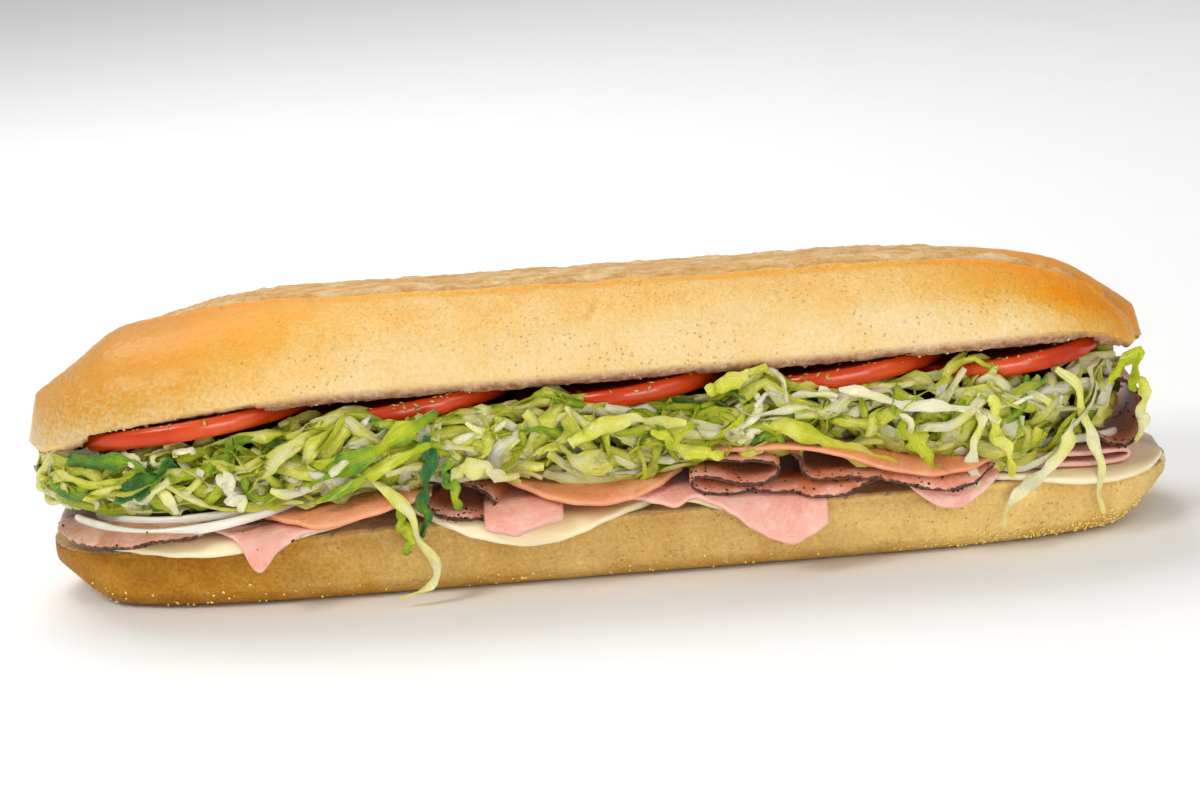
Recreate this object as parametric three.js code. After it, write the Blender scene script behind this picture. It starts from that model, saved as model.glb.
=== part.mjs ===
// A foot-long submarine sandwich: a long white roll cut in two, filled from the bottom up with cheese
// slices, folded cold cuts, onion, shredded lettuce and tomato slices.
// Millimetres. +X runs along the roll, -Y is the open front, +Z is up. The origin is the centre of the
// flat base of the lower half.
import * as THREE from "three";

// ---------- driving dimensions ----------
const rollLength = 306; // lower half, end to end
const rollHalfWidth = 36; // at the cut
const cutHeight = 18.2; // thickness of the lower half
const domeHeight = 23.4; // upper half, above its lower lip
const openAngle = THREE.MathUtils.degToRad(6); // the upper half leans back on the filling
const lipHeight = 54.3; // centre of the upper half's lip plane
const gap = 0.35; // clearance between pieces that touch
const cheeseThick = 2;
const meatThick = 1.6;
const onionThick = 2;
const tomatoThick = 5;
const tomatoTilt = THREE.MathUtils.degToRad(5.6); // each slice's right side lies on the next slice
const tomatoLevel = -7.4; // middle of the slices, below the upper half's lip
const bendRadius = 3.2; // a slice that hangs over the edge bends round this radius
const hangAngle = THREE.MathUtils.degToRad(80);

const smooth = (t) => THREE.MathUtils.smoothstep(t, 0, 1);
const wave = (x, length, phase) => Math.sin((x / length) * 2 * Math.PI + phase);

// ---------- the roll's plan and cut ----------
// Half width of the cut face at x, for a half whose middle is at `middle`.
function halfWidth(x, middle = 0, length = rollLength) {
  const along = Math.min(Math.abs((2 * (x - middle)) / length), 0.9995);
  return rollHalfWidth * Math.sqrt(1 - along ** 6);
}

// Height of the lower half's cut face: nearly level, a low swell left of the middle, falling at the ends.
function cutTop(x) {
  const swell = 1.6 * Math.exp(-(((x + 55) / 26) ** 2));
  const fall = smooth((Math.abs(x) - 105) / 50);
  return cutHeight + swell - (x > 0 ? 4.6 : 3.4) * fall;
}

// ---------- closed meshes ----------
function solid(name, points, faces, colour, roughness = 0.6) {
  const geometry = new THREE.BufferGeometry();
  geometry.setAttribute("position", new THREE.Float32BufferAttribute(points.flatMap((p) => p.toArray()), 3));
  const wedge = ([a, b, c]) => points[a].dot(points[b].clone().cross(points[c]));
  const volume = faces.reduce((sum, face) => sum + wedge(face), 0);
  geometry.setIndex(faces.flatMap(([a, b, c]) => (volume < 0 ? [a, c, b] : [a, b, c])));
  geometry.computeVertexNormals();
  const material = new THREE.MeshStandardMaterial({ color: colour, roughness, metalness: 0 });
  const mesh = new THREE.Mesh(geometry, material);
  mesh.name = name;
  return mesh;
}

// Skin over a row of closed rings with the same number of points, each end shut by a fan.
function loft(name, rings, colour, roughness) {
  const size = rings[0].length;
  const points = rings.flat();
  const faces = [];
  for (let i = 0; i < rings.length - 1; i++) {
    for (let j = 0; j < size; j++) {
      const [a, b] = [i * size + j, i * size + ((j + 1) % size)];
      faces.push([a, b, b + size], [a, b + size, a + size]);
    }
  }
  for (const [ring, turned] of [[0, true], [rings.length - 1, false]]) {
    const centre = rings[ring].reduce((sum, p) => sum.add(p), new THREE.Vector3()).divideScalar(size);
    points.push(centre);
    for (let j = 0; j < size; j++) {
      const [a, b] = [ring * size + j, ring * size + ((j + 1) % size)];
      faces.push(turned ? [b, a, points.length - 1] : [a, b, points.length - 1]);
    }
  }
  return solid(name, points, faces, colour, roughness);
}

// A sheet with a thickness: at(i, j, side) is a point of its upper (side 1) or lower (side -1) face.
function sheet(name, rows, columns, at, colour, roughness) {
  const points = [];
  const faces = [];
  const index = (i, j, side) => ((i * (columns + 1) + j) * 2) + (side > 0 ? 1 : 0);
  const quad = (a, b, c, d) => faces.push([a, b, c], [a, c, d]);
  for (let i = 0; i <= rows; i++) {
    for (let j = 0; j <= columns; j++) points.push(at(i, j, -1), at(i, j, 1));
  }
  for (let i = 0; i < rows; i++) {
    for (let j = 0; j < columns; j++) {
      quad(index(i, j, 1), index(i + 1, j, 1), index(i + 1, j + 1, 1), index(i, j + 1, 1));
      quad(index(i, j, -1), index(i, j + 1, -1), index(i + 1, j + 1, -1), index(i + 1, j, -1));
    }
    quad(index(i, 0, 1), index(i, 0, -1), index(i + 1, 0, -1), index(i + 1, 0, 1));
    quad(index(i, columns, -1), index(i, columns, 1), index(i + 1, columns, 1), index(i + 1, columns, -1));
  }
  for (let j = 0; j < columns; j++) {
    quad(index(0, j, -1), index(0, j, 1), index(0, j + 1, 1), index(0, j + 1, -1));
    quad(index(rows, j, 1), index(rows, j, -1), index(rows, j + 1, -1), index(rows, j + 1, 1));
  }
  return solid(name, points, faces, colour, roughness);
}

// ---------- the two halves of the roll ----------
const crust = 0xe0b06a;

const lower = { stations: 30, flare: 7, rimDrop: 0.5, swell: 1 }; // the base is a flare narrower on each side

// One ring of the lower half: up the front from the base, over the cut face, and down the back.
function lowerRing(x) {
  const wide = halfWidth(x);
  const top = cutTop(x);
  const lift = 9 * smooth((Math.abs(x) - 128) / 25) ** 1.6; // the ends curve up off the table
  const base = Math.max(wide - lower.flare, wide * 0.6);
  const side = [[base * 0.5, lift], [base, lift]];
  for (const turn of [25, 50, 75]) {
    const angle = THREE.MathUtils.degToRad(turn);
    const out = (wide + lower.swell - base) * Math.sin(angle);
    side.push([base + out, lift + 0.62 * (top - lift) * (1 - Math.cos(angle))]);
  }
  side.push([wide + 0.9, lift + 0.8 * (top - lift)], [wide, top - lower.rimDrop], [wide * 0.5, top]);
  const half = side.map(([y, z]) => new THREE.Vector3(x, y, z));
  const mirrored = side.map(([y, z]) => new THREE.Vector3(x, -y, z)).reverse();
  return [...half, ...mirrored];
}

// Places along a roll, closer together towards its ends.
function stationsAlong({ middle = 0, length = rollLength, stations }, share = 0.9985) {
  const place = (i) => middle - (length / 2) * Math.cos((Math.PI * i) / stations) * share;
  return Array.from({ length: stations + 1 }, (_, i) => place(i));
}

function lowerHalf() {
  return loft("bread_bottom", stationsAlong(lower).map(lowerRing), crust, 0.7);
}

const tomatoes = [
  { x: -109.2, radius: 34.2, y: -2.5, drop: 0.2 },
  { x: -53.6, radius: 31, y: -5, drop: 0 },
  { x: 7, radius: 33, y: -3, drop: 0 },
  { x: 62.6, radius: 32.5, y: -3.5, drop: 0 },
  { x: 107, radius: 29.5, y: -3, drop: 1.05 },
];
const tomatoPlane = (t, x) => tomatoLevel - t.drop + (x - t.x) * Math.tan(tomatoTilt);
const tomatoesAt = (x, reach) => tomatoes.filter((t) => Math.abs(x - t.x) < t.radius + reach);

// How far the upper half's lip droops at its ends, below the lip plane.
function lipDroop(x) {
  const left = Math.max((-74 - x) / 83, 0);
  const right = Math.max((x - 113) / 35, 0);
  return 11.6 * left ** 1.4 + 7 * right ** 2;
}

// Height of the crumb under the upper half: it sags on to the tomatoes, and rises over their high sides.
function crumbFace(x, reach) {
  const tops = tomatoesAt(x, reach).map((t) => tomatoPlane(t, Math.min(x + reach, t.x + t.radius)));
  return Math.max(-3.6 - lipDroop(x), ...tops.map((z) => z + tomatoThick / 2 + gap));
}

const upper = { middle: -4.4, length: 304.7, stations: 26, turns: 15, tipHeight: 1.2 };
const slash = { halfWidth: 11, depth: 1.5, ear: 0.5, from: -112, to: 146, atLeft: 2, atRight: -7 };

// Height of the crust over y, added by the slash: a shallow trough between two raised ears.
function slashRelief(x, y) {
  const opened = smooth((x - slash.from) / 30) * smooth((slash.to - x) / 30);
  const middle = THREE.MathUtils.mapLinear(x, slash.from, slash.to, slash.atLeft, slash.atRight);
  const across = Math.abs(y - middle) / slash.halfWidth;
  const ears = slash.ear * Math.exp(-(((across - 1) * 4) ** 2));
  return opened * (across < 1 ? -slash.depth * (1 - across ** 2) : ears);
}

// One ring of the upper half: over the crust from front to back, then back along the crumb.
function upperRing(x) {
  const wide = halfWidth(x, upper.middle, upper.length);
  const along = Math.abs((2 * (x - upper.middle)) / upper.length);
  const taper = x < 0 ? 3.2 : 3.9; // the left end is longer drawn
  const high = domeHeight * (1 - along ** taper) ** 0.72 + upper.tipHeight;
  const low = -lipDroop(x);
  const spacing = (upper.length / 2) * (Math.PI / upper.stations) * 0.8;
  const open = Math.max(crumbFace(x, spacing), low - high * 0.5);
  const crumb = THREE.MathUtils.lerp(low, open, smooth((1 - along) / 0.06));
  const ring = [];
  for (let k = 0; k < upper.turns; k++) {
    const angle = (Math.PI * k) / (upper.turns - 1);
    const y = -Math.sign(Math.cos(angle)) * wide * Math.abs(Math.cos(angle)) ** 0.92;
    const bulge = 0.9 * Math.sin(angle * 2) ** 2 * Math.sign(y);
    const z = low + (high - low) * Math.sin(angle) ** 0.86 + slashRelief(x, y);
    ring.push(new THREE.Vector3(x, y + bulge, z));
  }
  const under = [[0.985, 0.35], [0.93, 0.85], [0.82, 1], [0.3, 1]]; // share of the width, share of the depth
  const point = (share, depth) => new THREE.Vector3(x, wide * share, THREE.MathUtils.lerp(low, crumb, depth));
  ring.push(...under.map(([share, depth]) => point(share, depth)));
  ring.push(...under.reverse().map(([share, depth]) => point(-share, depth)));
  return ring;
}

function upperHalf() {
  return loft("bread_top", stationsAlong(upper, 0.998).map(upperRing), crust, 0.7);
}

function tomatoSlice(t, number) {
  const half = tomatoThick / 2;
  const rim = [
    [0, -half], [t.radius * 0.55, -half], [t.radius - 0.9, -half], [t.radius, -half + 1.1],
    [t.radius - 0.3, half - 0.8], [t.radius - 1.1, half], [t.radius * 0.55, half], [0, half],
  ];
  const geometry = new THREE.LatheGeometry(rim.map(([r, z]) => new THREE.Vector2(r, z)), 22);
  geometry.rotateX(Math.PI / 2);
  const material = new THREE.MeshStandardMaterial({ color: 0xb93014, roughness: 0.25, metalness: 0 });
  const mesh = new THREE.Mesh(geometry, material);
  mesh.name = `tomato_${number}`;
  mesh.rotation.y = -tomatoTilt;
  mesh.position.set(t.x, t.y, tomatoLevel - t.drop);
  return mesh;
}

// ---------- slices that lie on the lower half ----------
// A point `reach` out from the centre line (negative to the front) and `height` above the cut face.
// Past the edge of the roll it bends down, round the edge.
function onRoll(x, reach, height, middleHeight) {
  const edge = halfWidth(x) + 2 * gap;
  const past = Math.abs(reach) - edge;
  const top = cutTop(x);
  if (past <= 0) return new THREE.Vector3(x, reach, top + height);
  const bend = Math.min(past / (bendRadius + middleHeight), hangAngle);
  const straight = past - bend * (bendRadius + middleHeight);
  const out = edge + (bendRadius + height) * Math.sin(bend) + straight * Math.cos(hangAngle);
  const z = top - bendRadius + (bendRadius + height) * Math.cos(bend) - straight * Math.sin(hangAngle);
  return new THREE.Vector3(x, Math.sign(reach) * out, z);
}

// A value that runs smoothly through `values`, spread evenly over 0 to 1.
function through(values, share) {
  const place = share * (values.length - 1);
  const k = Math.min(Math.floor(place), values.length - 2);
  return THREE.MathUtils.lerp(values[k], values[k + 1], smooth(place - k));
}

function smoothLine(path) {
  return new THREE.CatmullRomCurve3(path.map(([x, h]) => new THREE.Vector3(x, 0, h)), false, "centripetal");
}

// A slice swept across the roll. path: its line seen from the front, as [x, height above the cut].
// front and back: how far it passes the roll's edge, along its line.
function slice(name, { path, thick, front, back, rows, colour, roughness = 0.45 }) {
  const centres = smoothLine(path).getSpacedPoints(rows);
  const columns = (pasts) => (Math.max(...pasts) > 2.5 ? [0, 0.28, 0.62, 1] : [1]);
  const spread = [...columns(front).map((u) => -1 - u).reverse(), ...columns(back).map((u) => 1 + u)];
  const at = (i, j, side) => {
    const along = centres[Math.min(i + 1, rows)].clone().sub(centres[Math.max(i - 1, 0)]).normalize();
    const { x, z: middle } = centres[i];
    const offset = (side * (typeof thick === "function" ? thick(i / rows) : thick)) / 2;
    const past = through(spread[j] < 0 ? front : back, i / rows);
    const share = Math.abs(spread[j]) - 1;
    const edge = halfWidth(x);
    const reach = past > 0 ? edge + 2 * gap + past * share : edge + past - (1 - share) * 4;
    const out = Math.sign(spread[j]) * Math.max(reach, 2 + share);
    return onRoll(x - along.z * offset, out, middle + along.x * offset, middle);
  };
  return sheet(name, rows, spread.length - 1, at, colour, roughness);
}

// How far a round slice of that radius passes the roll's edge, at steps along its own width.
function roundReach(radius, middle, steps, extra = 0) {
  return Array.from({ length: steps }, (_, i) => {
    const x = radius * 0.985 * (-1 + (2 * i) / (steps - 1));
    return Math.sqrt(radius ** 2 - x ** 2) - halfWidth(middle + x) + extra;
  });
}

const flat = cheeseThick / 2 + gap + 0.15; // a cheese slice's middle, lying on the crumb
const lapped = flat + cheeseThick + gap + 0.2; // and lying on its neighbour
// hang: how much further than a true circle a cheese slice passes the roll's front edge
const cheeses = [
  {
    middle: -100, radius: 48, hang: -4,
    path: [[-147.3, flat + 0.3], [-125, flat], [-75, flat], [-52.7, flat]],
  },
  {
    middle: -22, radius: 44, hang: 2,
    path: [
      [-65.3, lapped], [-58, lapped], [-52, lapped], [-46.5, flat + 0.2], [-40, flat], [-10, flat], [21.3, flat],
    ],
  },
  {
    middle: 34, radius: 46, hang: 0,
    path: [[-11.3, lapped], [5, lapped], [22, lapped], [28, flat + 0.2], [35, flat], [55, flat], [79.3, flat]],
  },
  {
    middle: 116, radius: 36.5, hang: 0,
    path: [[80.6, flat], [100, flat], [130, flat], [151.6, flat]],
  },
];

const ham = 0xe9a796;
const smoked = 0xc99272;
const pastrami = 0xdd8f78;
const salami = 0xe39667;

// Cold cuts, from left to right. A path that turns back on itself is a fold.
const meats = [
  {
    name: "smoked_ham", colour: smoked, rows: 9, thick: (u) => 2.2 + 3.6 * Math.sin(Math.PI * u) ** 0.5,
    path: [[-149.5, 5.4], [-135, 6], [-112, 5.9], [-97.2, 5.2]],
    front: [-1, 3.4, 4.4, 3.2, 0.4], back: [-1, 2, 3, 2, 0],
  },
  {
    name: "ham_pleat", colour: ham, rows: 13, thick: meatThick,
    path: [[-95.6, 4], [-82, 4], [-72, 4.3], [-67, 6.4], [-55.5, 6.7]],
    front: [9, 15, 6, 2, 0, 0], back: [1, 2.4, 2, 1, 0],
  },
  {
    name: "salami_left", colour: salami, rows: 9, thick: meatThick,
    path: [[-89.5, 6.2], [-76, 7], [-67, 8.9], [-56, 9.3], [-46.5, 9.1]],
    front: [1, 6, 8, 5, 0], back: [0, 4, 6, 4, 0],
  },
  {
    name: "pastrami_roll", colour: pastrami, rows: 17, thick: meatThick,
    path: [
      [-49, 6.4], [-45, 4.2], [-38, 3.9], [-32.4, 4.6], [-31.4, 7.2], [-35, 9.6], [-40, 11], [-47, 11.2],
    ],
    front: [0.6, 0.6], back: [0.6, 0.6],
  },
  {
    name: "ham_fold", colour: ham, rows: 7, thick: (u) => 3 + 1.6 * Math.sin(Math.PI * u),
    path: [[-29.6, 5.2], [-20, 5.2], [-12.9, 5.2]],
    front: [7, 12, 14, 12], back: [1, 2, 1],
  },
  {
    name: "salami_middle", colour: salami, rows: 11, thick: meatThick,
    path: [[-27.5, 12], [-20, 9.6], [-5, 9.1], [9, 9.1], [18.6, 10.4]],
    front: [-1, 6, 9, 8, -1], back: [-1, 5, 8, 5, -1],
  },
  {
    name: "ham_flap", colour: ham, rows: 12, thick: meatThick,
    path: [[3.5, 6.5], [20, 6.6], [29, 5.5], [38, 4.2], [57, 4.1]],
    front: [2, 6.5, 9.5, 11.5, 18.5, 17], back: [1, 2, 2.4, 1, 0],
  },
  {
    name: "pastrami_ribbon", colour: pastrami, rows: 34, thick: meatThick,
    path: [
      [74, 6.3], [60, 6.2], [45, 6.3], [31, 7.8], [23.6, 9], [21.4, 10.5], [23.8, 11.9], [29, 11], [35.5, 8.8],
      [41, 8.7], [44.7, 10.8], [42.6, 13.3], [36, 14], [28.5, 14.1],
    ],
    front: [2, 9, 7, 3, 1, 1, 1, 1, 1, 1], back: [2, 2.4, 2, 1, 1, 1, 1, 1, 1, 1],
  },
  {
    name: "pastrami_fold", colour: pastrami, rows: 19, thick: meatThick,
    path: [
      [48.6, 14.4], [51, 12.4], [51.6, 10.2], [55.5, 8.5], [64, 8.2], [73, 8.6], [82, 7.2], [91, 5.9], [100, 5.7],
    ],
    front: [0, 0, 1, 3, 6, 4], back: [0, 0, 1, 2, 2, 1],
  },
  {
    name: "salami_right", colour: salami, rows: 12, thick: meatThick,
    path: [[23, 16], [36, 16], [47, 16.8], [57, 15.8], [67, 13.4], [79, 10.9], [91, 8.4], [103.5, 7.9]],
    front: [-1, 1, 2, 4, 7, 6, 2], back: [-1, 1, 3, 5, 4, 1],
  },
  {
    name: "ham_right", colour: ham, rows: 8, thick: meatThick,
    path: [[77, 5.9], [82, 3.9], [90, 3.7], [102.5, 3.7]],
    front: [4, 10, 12, 7], back: [1, 2.4, 1],
  },
  {
    name: "ham_turned", colour: ham, rows: 18, thick: meatThick,
    path: [[105.4, 3.6], [120, 3.5], [136, 3.5], [140.6, 4], [140.2, 5.6], [134, 5.7], [120, 5.8], [106, 6.2]],
    front: [-1, 0, -1, -2, -2, 0, 1], back: [-2, -2],
  },
  {
    name: "pastrami_curl", colour: pastrami, rows: 18, thick: meatThick,
    path: [
      [133.4, 10.8], [134.6, 8.6], [138, 7.9], [142, 9.4], [144.6, 13.4], [145, 18], [143.6, 22.4], [140, 25.4],
      [133.8, 26.8],
    ],
    front: [-1, -1], back: [-2, -2],
  },
];

const onions = [
  { name: "onion_left", path: [[-141, 10.4], [-120, 10.3], [-102, 10.1], [-92, 8.7], [-85, 8.7]] },
  { name: "onion_middle", path: [[-17, 13.2], [-9, 11.3], [6, 11.2], [16.6, 12.6]] },
  { name: "onion_right", path: [[95.6, 11.4], [104, 10.2], [112, 8.2], [128, 7.9]] },
];

const cheeseSlice = ({ middle, radius, hang, path }, k) => ({
  name: `cheese_${k + 1}`, colour: 0xf2e2b4, roughness: 0.4, rows: 12, thick: cheeseThick, path,
  front: roundReach(radius, middle, 9, hang), back: roundReach(radius, middle, 9, -2),
});
const onionSlice = (onion) => ({
  ...onion, colour: 0xeee8dc, rows: 8, thick: onionThick,
  front: [-9, -1, 0.6, -1, -9], back: [-12, -4, -3, -4, -12],
});
const slices = [...cheeses.map(cheeseSlice), ...meats, ...onions.map(onionSlice)];

// ---------- the bed of shredded lettuce ----------
const lettuce = { from: -150, to: 130.5, stations: 29, least: 1.2 };

// Highest point of the slices near x, above the cut face. The upright slice at the right end isn't under it.
function fillingTop(x, reach) {
  const heights = slices.filter(({ name }) => name !== "pastrami_curl").flatMap(({ path, thick }) => {
    const near = smoothLine(path).getSpacedPoints(60).filter((p) => Math.abs(p.x - x) < reach);
    return near.map((p) => p.z + (typeof thick === "function" ? thick(0.5) : thick) / 2);
  });
  return Math.max(4, ...heights);
}

// One ring of the bed, between the slices and the tomatoes, rounded off towards the bed's ends.
function lettuceRing(x, i) {
  const step = (lettuce.to - lettuce.from) / lettuce.stations;
  const rounded = Math.sqrt(Math.sin((Math.PI * (i + 0.6)) / (lettuce.stations + 1.2)));
  const low = cutTop(x) + fillingTop(x, step * 1.1) + gap;
  const under = tomatoesAt(x, step).map((t) => tomatoPlane(t, Math.max(x - step, t.x - t.radius)));
  const roof = Math.min(-6, ...under) - tomatoThick / 2 - gap;
  const high = (y) => lipHeight + roof / Math.cos(openAngle) - y * Math.tan(openAngle);
  const edge = halfWidth(x, -8, 312);
  const ends = Math.min(rounded * 1.25, 1);
  const front = (edge + 1.5 + 2.2 * wave(x, 37, 0.4) + 1.3 * wave(x, 13, 1)) * ends;
  const back = (edge - 1 + 2 * wave(x, 31, 2) + 1.2 * wave(x, 15, 0)) * ends;
  const middle = (y) => (low + high(y)) / 2;
  const room = (y) => Math.max((high(y) - low) / 2, lettuce.least) * Math.min(rounded * 1.6, 1);
  const outline = [
    [-front, -0.3], [-front * 0.97, 0.45], [-front * 0.86, 1], [-front * 0.3, 1], [back * 0.35, 1], [back * 0.86, 1],
    [back, 0.3], [back * 0.98, -0.5], [back * 0.85, -1], [back * 0.3, -1], [-front * 0.35, -1], [-front * 0.9, -1],
  ];
  return outline.map(([y, level]) => new THREE.Vector3(x, y, middle(y) + level * room(y)));
}

function lettuceBed() {
  const rings = [];
  for (let i = 0; i <= lettuce.stations; i++) {
    rings.push(lettuceRing(THREE.MathUtils.mapLinear(i, 0, lettuce.stations, lettuce.from, lettuce.to), i));
  }
  return loft("lettuce", rings, 0xb9c26a, 0.5);
}

// ---------- the sandwich ----------
const sandwich = new THREE.Group();
sandwich.add(lowerHalf());
slices.forEach((s) => sandwich.add(slice(s.name, s)));
sandwich.add(lettuceBed());

const upperGroup = new THREE.Group();
upperGroup.position.z = lipHeight;
upperGroup.rotation.x = -openAngle;
tomatoes.forEach((t, k) => upperGroup.add(tomatoSlice(t, k + 1)));
upperGroup.add(upperHalf());
sandwich.add(upperGroup);

export default sandwich;
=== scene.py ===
import math

import bpy
import numpy as np
from mathutils import Matrix, Vector, noise


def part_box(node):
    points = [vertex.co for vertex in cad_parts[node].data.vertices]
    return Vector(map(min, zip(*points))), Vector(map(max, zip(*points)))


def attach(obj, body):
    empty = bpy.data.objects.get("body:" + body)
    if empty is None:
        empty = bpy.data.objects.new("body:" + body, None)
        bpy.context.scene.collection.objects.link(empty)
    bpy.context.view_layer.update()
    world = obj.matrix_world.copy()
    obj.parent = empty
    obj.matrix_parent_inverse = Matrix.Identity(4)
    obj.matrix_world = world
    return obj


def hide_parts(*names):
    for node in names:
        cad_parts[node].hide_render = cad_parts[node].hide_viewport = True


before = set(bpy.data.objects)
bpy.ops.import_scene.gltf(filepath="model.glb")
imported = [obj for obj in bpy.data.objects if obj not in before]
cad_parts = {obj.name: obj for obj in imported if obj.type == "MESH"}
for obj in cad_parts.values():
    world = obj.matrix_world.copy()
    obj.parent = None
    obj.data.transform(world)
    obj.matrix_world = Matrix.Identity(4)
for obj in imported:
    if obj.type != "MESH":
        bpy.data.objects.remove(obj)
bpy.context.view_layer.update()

mm = 0.001
body = "root"


# a piece's finish and body, and which solids it stands for
def settle(piece, slotName, material, *nodes):
    piece.data.materials.clear()
    piece.data.materials.append(material)
    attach(piece, body)
    if nodes:
        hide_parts(*nodes)


def deselectAll():
    for item in bpy.context.selected_objects:
        item.select_set(False)


def makeActive(piece):
    deselectAll()
    piece.select_set(True)
    bpy.context.view_layer.objects.active = piece


def applyModifiers(piece):
    makeActive(piece)
    for modifier in list(piece.modifiers):
        bpy.ops.object.modifier_apply(modifier=modifier.name)


def soften(piece, levels):
    modifier = piece.modifiers.new("soft", "SUBSURF")
    modifier.levels = modifier.render_levels = levels
    applyModifiers(piece)


# a piece made of points in mm and faces
def meshPiece(name, points, faces):
    mesh = bpy.data.meshes.new(name)
    mesh.from_pydata((points.reshape(-1, 3) * mm).tolist(), [], faces)
    piece = bpy.data.objects.new(name, mesh)
    bpy.context.collection.objects.link(piece)
    return piece


def readPoints(mesh):
    flat = np.empty(len(mesh.vertices) * 3, dtype=np.float32)
    mesh.vertices.foreach_get("co", flat)
    return flat.reshape(-1, 3).astype(float)


def writePoints(mesh, points):
    mesh.vertices.foreach_set("co", np.asarray(points, dtype=np.float32).ravel())
    mesh.update()


def writeMask(mesh, name, values):
    layer = mesh.attributes.new(name, "FLOAT", "POINT")
    layer.data.foreach_set("value", np.asarray(values, dtype=np.float32))


def readMask(mesh, name):
    values = np.empty(len(mesh.vertices))
    mesh.attributes[name].data.foreach_get("value", values)
    return values


def smoothAll(piece):
    piece.data.polygons.foreach_set("use_smooth", [True] * len(piece.data.polygons))


def crispEdges(piece, degrees):
    makeActive(piece)
    bpy.ops.object.shade_smooth_by_angle(angle=math.radians(degrees))


def outward(piece):
    makeActive(piece)
    bpy.ops.object.mode_set(mode="EDIT")
    bpy.ops.mesh.select_all(action="SELECT")
    bpy.ops.mesh.normals_make_consistent(inside=False)
    bpy.ops.object.mode_set(mode="OBJECT")


# smooth random field at points in mm, features about that many mm wide, from -1 to 1
def field(points, size, seed=0.0, stretch=(1, 1, 1)):
    shift = (seed * 13.1, seed * 7.7, seed * 3.3)
    scaled = np.asarray(points) / (size * np.asarray(stretch)) + shift
    return np.array([noise.noise(p) for p in scaled.tolist()])


def ease(value, low, high):
    share = np.clip((value - low) / (high - low), 0, 1)
    return share * share * (3 - 2 * share)


# 1 at the middle, falling to almost nothing two widths away
def bell(value, middle, width):
    return np.exp(-(((value - middle) / width) ** 2))


# what a table of (x, value) says at each x
def readTable(x, table):
    return np.interp(x, *zip(*table))


def unit(vectors, tiny=0.0):
    return vectors / (np.linalg.norm(vectors, axis=-1, keepdims=True) + tiny)


def newMaterial(name):
    material = bpy.data.materials.new(name)
    material.use_nodes = True
    tree = material.node_tree
    return material, tree, tree.nodes["Principled BSDF"]


def setSockets(node, values):
    for name, value in values.items():
        node.inputs[name].default_value = value


# the shader's sockets for light that goes into the food
def softLight(weight, radius, depth):
    return {"Subsurface Weight": weight, "Subsurface Radius": radius, "Subsurface Scale": depth}


# a number or a colour is set on the socket, an output is linked to it
def feed(tree, value, socket):
    if isinstance(value, (int, float)):
        socket.default_value = value
    elif isinstance(value, tuple):
        socket.default_value = (*value, 1)
    else:
        tree.links.new(value, socket)


def addRamp(tree, source, stops):
    ramp = tree.nodes.new("ShaderNodeValToRGB")
    elements = ramp.color_ramp.elements
    while len(elements) < len(stops):
        elements.new(0.5)
    for element, (position, colour) in zip(elements, stops):
        element.position = position
        element.color = (*colour, 1)
    tree.links.new(source, ramp.inputs["Fac"])
    return ramp.outputs["Color"]


def objectPlace(tree):
    for node in tree.nodes:
        if node.type == "TEX_COORD":
            return node.outputs["Object"]
    return tree.nodes.new("ShaderNodeTexCoord").outputs["Object"]


def ownMap(tree):
    node = tree.nodes.new("ShaderNodeUVMap")
    node.uv_map = "UVMap"
    return node.outputs["UV"]


def stretched(tree, scale, vector=None):
    mapping = tree.nodes.new("ShaderNodeMapping")
    mapping.inputs["Scale"].default_value = scale
    tree.links.new(vector or objectPlace(tree), mapping.inputs["Vector"])
    return mapping.outputs["Vector"]


def addNoise(tree, scale, detail=4, roughness=0.55, distortion=0.0, vector=None):
    node = tree.nodes.new("ShaderNodeTexNoise")
    setSockets(node, {"Scale": scale, "Detail": detail, "Roughness": roughness, "Distortion": distortion})
    tree.links.new(vector or objectPlace(tree), node.inputs["Vector"])
    return node.outputs["Fac"]


# distance to the nearest of many scattered spots
def addSpots(tree, scale, vector=None):
    node = tree.nodes.new("ShaderNodeTexVoronoi")
    node.inputs["Scale"].default_value = scale
    tree.links.new(vector or objectPlace(tree), node.inputs["Vector"])
    return node.outputs["Distance"]


def addMask(tree, name):
    node = tree.nodes.new("ShaderNodeAttribute")
    node.attribute_name = name
    return node.outputs["Fac"]


def mixColours(tree, share, first, second):
    node = tree.nodes.new("ShaderNodeMix")
    node.data_type = "RGBA"
    for name, value in {"Factor": share, "A": first, "B": second}.items():
        feed(tree, value, node.inputs[name])
    return node.outputs["Result"]


def compute(tree, operation, *values, clamp=False):
    node = tree.nodes.new("ShaderNodeMath")
    node.operation = operation
    node.use_clamp = clamp
    for value, socket in zip(values, node.inputs):
        feed(tree, value, socket)
    return node.outputs["Value"]


def remap(tree, source, low, high, newLow=0.0, newHigh=1.0):
    node = tree.nodes.new("ShaderNodeMapRange")
    setSockets(node, {"From Min": low, "From Max": high, "To Min": newLow, "To Max": newHigh})
    tree.links.new(source, node.inputs["Value"])
    return node.outputs["Result"]


def addBump(tree, shader, height, distance, strength):
    bump = tree.nodes.new("ShaderNodeBump")
    setSockets(bump, {"Strength": strength, "Distance": distance})
    tree.links.new(height, bump.inputs["Height"])
    tree.links.new(bump.outputs["Normal"], shader.inputs["Normal"])


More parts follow.
